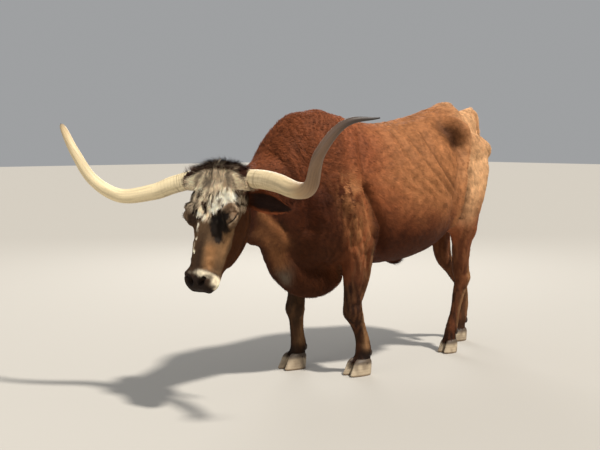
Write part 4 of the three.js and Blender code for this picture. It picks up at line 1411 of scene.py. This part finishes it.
hoofSurface = surfaceOf("hoof_horn", {"Roughness": 0.5}, hornRelief)
for limb in limbs:
    for claw, away in (("outer", 1), ("inner", -1)):
        for part, made in (("claw", clawMesh), ("dewclaw", dewclawMesh)):
            name = f"{limb}_{part}_{claw}"
            piece(name, made(limb, hands[limb[5:]] * away), hoofSurface, [name])
print("horns and hooves made")


# The coat: small blades of hair rooted on the hide

# One centreline: its rings' middles, directions along, across and over, sizes, and shares of the way
def partLine(stations, over, carry=None, count=40, level=None):
    t = np.linspace(0, 1, count)
    rows, tangent, side, rise = carried(stations, t, over, level, 0.002)
    centre = rows[:, :3]
    if carry:
        origin = carry(np.zeros((1, 3)))
        centre = carry(centre)
        tangent, side, rise = (carry(v) - origin for v in (tangent, side, rise))
    return centre, tangent, side, rise, rows[:, 3:6].mean(1), t


middle = trunkStations.copy()
middle[:, 2] = (spine + underline) / 2
partLines = {
    "trunk": partLine(middle[2:], up, level=back),
    "neck": partLine(neckStations[1:], up),
    "dewlap": partLine(dewlapStations[:-1], up),
    "head": partLine(headStations, back, fromFace, level=up),
}
partLines |= {limb: partLine(stepped(limb)[1:], ahead, level=-up) for limb in limbs}
partLines |= {"tail": partLine(tailStations[1:], back), "poll": partLine(tuftStations, up, fromPoll)}
for hand, side in hands.items():
    partLines["collar_" + hand] = partLine(collarStations(hand), up, fromPoll, 16)
    partLines["ear_" + hand] = partLine(handed(earStations[hand], side), back, fromPoll, 24)
partNames = np.array(list(partLines))
lineOf = np.repeat(np.arange(len(partLines)), [len(line[0]) for line in partLines.values()])
centres, tangents, sides, rises, sizes, shares = (np.concatenate(field) for field in zip(*partLines.values()))


# For each point the nearest ring of a centreline, counted in the ring's own sizes
def nearestRing(points):
    nearest = np.empty(len(points), int)
    for start in range(0, len(points), 4000):
        chunk = slice(start, start + 4000)
        far = np.linalg.norm(points[chunk][:, None] - centres[None], axis=2) / sizes
        nearest[chunk] = far.argmin(1)
    return nearest


# Tiles of the unwrap: left, bottom, width and height for each part
tiles = {
    "trunk": (0.01, 0.01, 0.58, 0.56), "neck": (0.61, 0.01, 0.38, 0.27), "dewlap": (0.61, 0.30, 0.18, 0.27),
    "head": (0.81, 0.30, 0.18, 0.27),
    "fore_left": (0.01, 0.59, 0.15, 0.40), "fore_right": (0.17, 0.59, 0.15, 0.40),
    "hind_left": (0.33, 0.59, 0.15, 0.40), "hind_right": (0.49, 0.59, 0.15, 0.40),
    "tail": (0.65, 0.59, 0.07, 0.40), "poll": (0.73, 0.59, 0.12, 0.19),
    "collar_left": (0.87, 0.59, 0.12, 0.09), "collar_right": (0.87, 0.69, 0.12, 0.09),
    "ear_left": (0.73, 0.80, 0.12, 0.19), "ear_right": (0.87, 0.80, 0.12, 0.19),
}
tileRows = np.array([tiles[name] for name in partNames])


# The hide unrolled: around each part's ring across its tile, along its line up the tile
def unwrapped(points):
    ring = nearestRing(points)
    away = points - centres[ring]
    angle = np.arctan2((away * sides[ring]).sum(1), (away * rises[ring]).sum(1))
    lean = (away * tangents[ring]).sum(1) / np.maximum(sizes[ring] * 6, 1e-6)
    tile = tileRows[lineOf[ring]]
    across = 0.02 + 0.96 * (0.5 + angle / (2 * math.pi))
    along = 0.02 + 0.96 * np.clip(shares[ring] + 0.3 * lean, 0, 1)
    return tile[:, :2] + np.stack([across, along], 1) * tile[:, 2:]


# Which way the hair lies: back and down over trunk and neck, down the limbs and tail, out along the ears,
# and on the head down and outwards from the middle of the poll
whorl = (0.005, -0.085)


def lieOfHair(points, ring):
    lie = np.tile([0.0, 1.0, -0.45], (len(points), 1))
    lie[:, 2] -= 0.5 * ease(0.9, 0.6, points[:, 2])
    along = unit(tangents[ring])
    for k, name in enumerate(partNames):
        own = lineOf[ring] == k
        run, place = along[own], points[own]
        if name == "trunk":
            continue
        if name == "neck":
            run = -run - 0.55 * up
        elif name == "dewlap":
            run = run * 0.6 - 0.9 * up
        elif name in limbs:
            run = run + 0.25 * back * ease(0.4, 0.9, place[:, 2])[:, None]
        elif name == "poll":
            left, behind, _ = toPoll(place).T
            run = np.stack([left * 9, -0.5 - 4 * np.maximum(-behind, 0), 0.55 + 0 * left], 1) @ pollAxes
        elif name == "head":
            left, out, down = toFace(place).T
            sunk = np.minimum(out, 0) * 1.2 * (down > 0.05)
            run = np.stack([1.1 * (left - whorl[0]), sunk, down - whorl[1]], 1)
            below = ease(0.10, 0.20, down)[:, None]
            run = unit(run) * (1 - below) + unit(run * [0.35, 0.6, 1] + [0, 0, 0.08]) * below
            run = run @ faceAxes
        lie[own] = run
    return lie


# Looks of the coat by region: tufts, length, width, lift (share of the length) and steps along a blade
coatLook = {name: dict(zip(("tufts", "length", "width", "lift", "steps"), row)) for name, row in {
    "face": (56000, 0.0085, 0.0016, 0.12, 2),
    "poll": (28000, 0.044, 0.0019, 0.36, 4),
    "neck": (62000, 0.021, 0.0032, 0.14, 2),
    "shoulder": (62000, 0.018, 0.0033, 0.10, 2),
    "flank_left": (62000, 0.016, 0.0034, 0.07, 2),
    "flank_right": (62000, 0.016, 0.0034, 0.07, 2),
    "rump": (62000, 0.016, 0.0034, 0.07, 2),
    "legs": (62000, 0.011, 0.0022, 0.11, 2),
}.items()}
hidePoints = pointsOf(hide.data) - home
hideNormals = normalsOf(hide.data)
hideFaces = trianglesOf(hide.data)
hideRing = nearestRing(hidePoints)


# The share of tufts that each point of the hide carries in every region
def regionWeights():
    x, y, z = hidePoints.T
    names = partNames[lineOf[hideRing]]
    half = mirrored(toFace(hidePoints))
    ears = np.char.startswith(names, "ear")
    head = names == "head"
    forelock = head & (half[:, 2] < 0.110) & (half[:, 1] > -0.05)
    top = (names == "poll") | np.char.startswith(names, "collar") | forelock | ears
    low = np.isin(names, list(limbs)) & (z < np.where(y < 0.5, 0.64, 0.72))
    body = ~head & ~top & ~low & (names != "tail")
    # No tufts on the nose pad, in the nostrils or in the slit of the lids
    bare = (half[:, 2] > 0.450 + 0.62 * half[:, 0]) & (half[:, 1] > -0.094)
    bare |= nearPath(half, nostrilLine, 0.0145) > 0.45
    fromEye = half - eyePlace
    slit = (np.abs(fromEye @ lidUp + 0.001) < 0.0048) & (np.abs(fromEye @ slitAlong) < 0.022)
    bare |= slit & (fromEye @ lookOut > 0)
    flank = body & (y >= 0.24) & (y < 0.80)
    return {
        "face": head & ~forelock & ~bare,
        "poll": top * np.where(ears, 0.50, np.where(forelock, 1.15, 1.0)),
        "neck": body & (y < -0.22),
        "shoulder": body & (y >= -0.22) & (y < 0.24),
        "flank_left": flank & (x >= 0),
        "flank_right": flank & (x < 0),
        "rump": (body & (y >= 0.80)) | (names == "tail"),
        "legs": low,
    }


# How the coat changes within a region: masks, each with how much longer, wider, higher and curlier it makes
# the tufts there, and how much lift it adds
def changes(name, root, ring):
    x, y, z = root.T
    face = toFace(root)
    down = face[:, 2]
    if name == "face":
        brow = ease(0.22, 0.10, down) * ease(-0.06, 0.0, face[:, 1])
        byEye = ease(0.050, 0.030, np.linalg.norm(mirrored(face) - eyePlace, axis=1))
        low = ease(0.36, 0.44, down)
        return (brow, 1.5, 0.25, 0.5, 0.25, 0), (low, -0.45, 0, 0, 0, 0), (byEye, -0.55, 0, 0, 0, 0)
    if name == "poll":
        names = partNames[lineOf[ring]]
        ears = np.char.startswith(names, "ear")
        forelock = (names == "head") | (down > crestEdge(face[:, 0])) & ~ears
        collar = np.char.startswith(names, "collar") & ~forelock
        crest = ~(ears | forelock | collar)
        return ((ears, -0.62, -0.2, -0.55, 0.15, 0), (forelock, -0.38, 0.1, -0.50, 0.15, 0),
                (collar, -0.55, 0, -0.60, 0.15, 0), (crest, 0, 0, 0.7, 0.15, 0))
    if name in ("neck", "shoulder"):
        hump = ease(0.16, -0.05, y) * ease(0.85, 1.0, z)
        raised = 0.3 * hump + 1.4 * np.maximum(crinkle(root), 0)
        beard = ease(0.66, 0.54, z) * ease(0.08, -0.05, y)
        return (hump, 0.20, 0, 0, 0.35, 0), (raised, 0, 0, 1, 0, 0), (beard, 0.7, 0, 0.8, 0, 0)
    if name == "legs":
        return [(ease(0.105, 0.080, z), 1.4, 0, 0, 0, 0.34)]
    ripple = np.sin(2 * math.pi * (y + 0.3 * z + 0.05 * cloud(root, 0.06, 92)) / 0.026)
    sheath = nearSpot(root, (0.0, 0.50, 0.565), (0.035, 0.07, 0.045))
    peak = nearSpot(root, (0.0, 0.915, 1.47), (0.05, 0.06, 0.03))
    return (ripple, 0, 0, 0.35, 0, 0), (sheath, 2.2, 0, 1.5, 0, 0), (peak, 0.8, 0, 1.2, 0, 0)


# A mesh of blades, each a row of pairs of points from its root on, with one more point where it ends in a
# tip. On the unwrap each is a small patch at its place.
def bladeMesh(name, blades, places, colours, square=False):
    count, each = blades.shape[:2]
    pairs = 2 * np.arange(each // 2 - 1)[:, None]
    faces = pairs + [0, 1, 3, 2] if square else (pairs + [0, 1, 3, 0, 3, 2]).reshape(-1, 3)
    share = np.linspace(-1, 1, (each + 1) // 2)
    patch = 0.0015 * np.stack([np.tile([-1.0, 1.0], len(share)), np.repeat(share, 2)], 1)[:each]
    if each % 2:
        faces = np.concatenate([faces, [[each - 3, each - 2, each - 1]]])
        patch[-1, 0] = 0
    faces = (faces + np.arange(count)[:, None, None] * each).reshape(-1, faces.shape[1])
    mesh = meshOf(name, blades.reshape(-1, 3) + home, faces)
    flats = (places[:, None] + patch).reshape(-1, 2)
    layer = mesh.uv_layers.new(name="OFBake")
    layer.data.foreach_set("uv", flats[faces.ravel()].astype(np.float32).ravel())
    paint(mesh, colours.reshape(-1, 3))
    return mesh


def grownTufts(name, look, weights, seed):
    rng = np.random.default_rng(seed)
    count = look["tufts"]
    a, b, c = (hidePoints[hideFaces[:, k]] for k in range(3))
    area = 0.5 * np.linalg.norm(np.cross(b - a, c - a), axis=1)
    chance = np.cumsum(area * weights[hideFaces].mean(1))
    pick = np.searchsorted(chance, rng.random(count) * chance[-1])
    u, v = rng.random((2, count, 1))
    flip = u + v > 1
    u, v = np.where(flip, 1 - u, u), np.where(flip, 1 - v, v)
    root = a[pick] + (b - a)[pick] * u + (c - a)[pick] * v
    corners = hideFaces[pick]
    normal = unit(hideNormals[corners].mean(1))
    near = hideRing[corners[:, 0]]
    # The lie wanders a little from place to place, and every tuft a little from the lie
    lie = lieOfHair(root, near)
    lie = unit(lie - (lie * normal).sum(1, keepdims=True) * normal)
    across = np.cross(normal, lie)
    turn = 0.8 * (cloud(root, 0.07, seed) - 0.5) + 0.6 * (cloud(root, 0.022, seed + 1) - 0.5)
    turn = (turn + rng.normal(0, 0.16, count))[:, None]
    lie, across = lie * np.cos(turn) + across * np.sin(turn), across * np.cos(turn) - lie * np.sin(turn)
    length = look["length"] * (0.75 + 0.5 * rng.random(count))
    width = look["width"] * (0.75 + 0.5 * rng.random(count))
    lift = look["lift"] * (0.6 + 0.8 * rng.random(count))
    curl = 0.25
    for mask, longer, wider, higher, curlier, added in changes(name, root, near):
        length = length * (1 + longer * mask)
        width = width * (1 + wider * mask)
        lift = lift * (1 + higher * mask) + added * mask
        curl = curl + curlier * mask
    roll = rng.normal(0, 0.22, count)[:, None]
    flat = across * np.cos(roll) + normal * np.sin(roll)
    share = np.linspace(0, 1, look["steps"] + 1)
    phase = rng.random(count) * 6.3
    rows = []
    for s in share:
        rise = lift * s * (1 - 0.35 * s) * length
        bend = curl * length * (np.sin(5.5 * s + phase) - np.sin(phase)) * 0.22
        middle = root + lie * (length * s)[:, None] + normal * (rise + 0.0006 * s - 0.0003)[:, None]
        middle = middle + across * bend[:, None]
        half = flat * (0.5 * width * (1 - s**1.6) * (0.75 + 0.9 * s * (1 - s)))[:, None]
        rows += [middle - half, middle + half]
    # The hide's colouring at the root, painted light and shade included, darker below and paler at the tip;
    # no two tufts alike, least of all in the roan
    face = toFace(root)
    roan = ease(0.215, 0.150, face[:, 2]) * ease(-0.085, -0.03, face[:, 1])
    roan *= np.linalg.norm(face, axis=1) < 0.3
    colour = colouring(root) * (1 + (0.36 + 0.40 * roan) * (rng.random(count) - 0.5))[:, None]
    shade = np.repeat(0.84 + 0.28 * share, 2)[:-1, None]
    colours = np.clip(colour[:, None] * shade, 0.003, 0.95)
    return bladeMesh("coat_" + name, np.stack(rows[:-1], 1), unwrapped(root), colours)


hairSurface = surfaceOf("hair", {"Roughness": 0.62, "Specular IOR Level": 0.10})
regions = regionWeights()
grown = 0
for seed, (name, look) in enumerate(coatLook.items(), 100):
    tufts = grownTufts(name, look, regions[name].astype(float), seed)
    piece("coat_" + name, tufts, hairSurface, flat=True)
    grown += len(tufts.polygons)
print("coat:", grown, "triangles")


# Lashes: a row of fine curved hairs along the upper lid of each eye
lashLook = {"hairs": 60, "length": 0.0125, "width": 0.0006, "steps": 4}


def lashMesh():
    rng = np.random.default_rng(5)
    look = lashLook
    count = look["hairs"]
    eyes = []
    for side in (1, -1):
        along = np.linspace(-0.017, 0.018, count) + rng.normal(0, 0.0003, count)
        high = lids["upper"] * (1 - (along / lids["halfLength"]) ** 2) + 0.0010
        out = np.sqrt(eyeRadius**2 - along**2 - high**2)
        root = unit(np.stack([along, high, out], 1) @ np.array([slitAlong, lidUp, lookOut]))
        root *= eyeRadius + lids["thick"]
        length = look["length"] * (0.6 + 0.5 * rng.random(count)) * (1 - 0.4 * (along / 0.019) ** 2)
        fan = 0.5 * along / 0.019 + rng.normal(0, 0.12, count)
        rows = []
        for s in np.linspace(0, 1, look["steps"] + 1):
            droop = lookOut * (0.9 * s) - lidUp * (0.75 * s - 0.85 * s * s)
            middle = root + length[:, None] * (droop + slitAlong * (fan * s)[:, None])
            half = slitAlong * (0.5 * look["width"] * (1 - 0.85 * s))
            rows += [middle - half, middle + half]
        eyes.append(fromFace((np.stack(rows, 1) + eyePlace) * [side, 1, 1]))
    blades = np.concatenate(eyes)
    colours = np.tile(shades["lidRim"], (*blades.shape[:2], 1))
    return bladeMesh("coat_lashes", blades, unwrapped(blades[:, 0]), colours, square=True)


piece("coat_lashes", lashMesh(), hairSurface, flat=True)


# The tail's switch: long wavy strands carried down its own line
switchLook = {"strands": 2600, "steps": 9, "width": 0.0030}


def switchMesh():
    rng = np.random.default_rng(7)
    look = switchLook
    count = look["strands"]
    start = rng.random(count) ** 1.5 * 0.55
    end = np.minimum(start + 0.35 + 0.5 * rng.random(count), 1)
    angle = rng.random(count) * 2 * math.pi
    reach = 0.35 + 0.65 * np.sqrt(rng.random(count))
    phase = rng.random(count) * 6.3
    share = np.linspace(0, 1, look["steps"] + 1)
    rows = []
    for s in share:
        t = start + (end - start) * s
        place = curve(switchStations, t)
        wave = angle + 0.35 * np.sin(7 * t + phase)
        grow = reach * ease(-0.15, 0.25, s) * (1 - 0.15 * s)
        out = np.stack([np.cos(wave), np.sin(wave), 0 * wave], 1)
        middle = place[:, :3] + out * (place[:, 3] * grow)[:, None]
        half = np.cross(up, out) * (0.5 * look["width"] * (1 - s**2) + 0.0001)
        rows += [middle - half, middle + half]
    tint = (0.7 + 0.7 * rng.random(count))[:, None] * np.repeat(0.8 + 0.5 * share, 2)
    places = np.stack([0.66 + 0.05 * angle / (2 * math.pi), 0.60 + 0.35 * start], 1)
    return bladeMesh("coat_switch", np.stack(rows, 1), places, shades["poll"] * tint[..., None])


piece("coat_switch", switchMesh(), hairSurface, flat=True)


# Floor, light and camera

# A high key off the left flank, as the sun stood, with a weak fill from the front and one from behind
lamps = {
    "sky": 0.36,
    "placed": {
        "key": ("SUN", (3.9, 1.2, 7.6), 5, 4.4, (1.0, 0.95, 0.87)),
        "front": ("AREA", (1.0, -6.0, 2.8), 3.0, 60, (1.0, 1.0, 1.0)),
        "back": ("AREA", (-4.2, 3.2, 3.8), 2.5, 110, (1.0, 1.0, 1.0)),
    },
}


def studio():
    corners = np.array([[-40, -40, 0], [40, -40, 0], [40, 40, 0], [-40, 40, 0]], float)
    floor = placed("floor", meshOf("floor", corners, np.array([[0, 1, 2, 3]])))
    material = bpy.data.materials.new("floor")
    material.use_nodes = True
    shader = material.node_tree.nodes["Principled BSDF"]
    shader.inputs["Base Color"].default_value = (*tone(176, 172, 165), 1)
    shader.inputs["Roughness"].default_value = 0.9
    floor.data.materials.append(material)
    world = bpy.data.worlds.new("studio")
    bpy.context.scene.world = world
    world.use_nodes = True
    sky = world.node_tree.nodes["Background"]
    sky.inputs["Color"].default_value = (0.96, 0.98, 1.0, 1)
    sky.inputs["Strength"].default_value = lamps["sky"]
    for name, (kind, place, size, power, colour) in lamps["placed"].items():
        lamp = bpy.data.lights.new(name, kind)
        if kind == "SUN":
            lamp.angle = math.radians(size)
        else:
            lamp.shape = "DISK"
            lamp.size = size
        lamp.energy = power
        lamp.color = colour
        thing = placed(name, lamp)
        thing.location = np.array(place) + home
        toward = np.array([0.0, 0.3, 0.9]) - np.array(place)
        thing.rotation_euler = mathutils.Vector(toward).to_track_quat("-Z", "Y").to_euler()


# The camera stands where the photograph was taken from: off the left shoulder, a little below the
# spine's height
cameraLook = {"place": (3.897, -3.337, 1.25), "azimuth": math.radians(51), "pitch": math.atan(85 / 960),
              "lens": 57.6}


def mainCamera():
    look = cameraLook
    camera = bpy.data.cameras.new("main")
    camera.lens = look["lens"]
    camera.sensor_width = 36
    thing = placed("main", camera)
    thing.location = np.array(look["place"]) + home
    thing.rotation_euler = (math.pi / 2 - look["pitch"], 0, look["azimuth"])
    bpy.context.scene.camera = thing


studio()
mainCamera()
bpy.context.scene.view_settings.view_transform = "Standard"
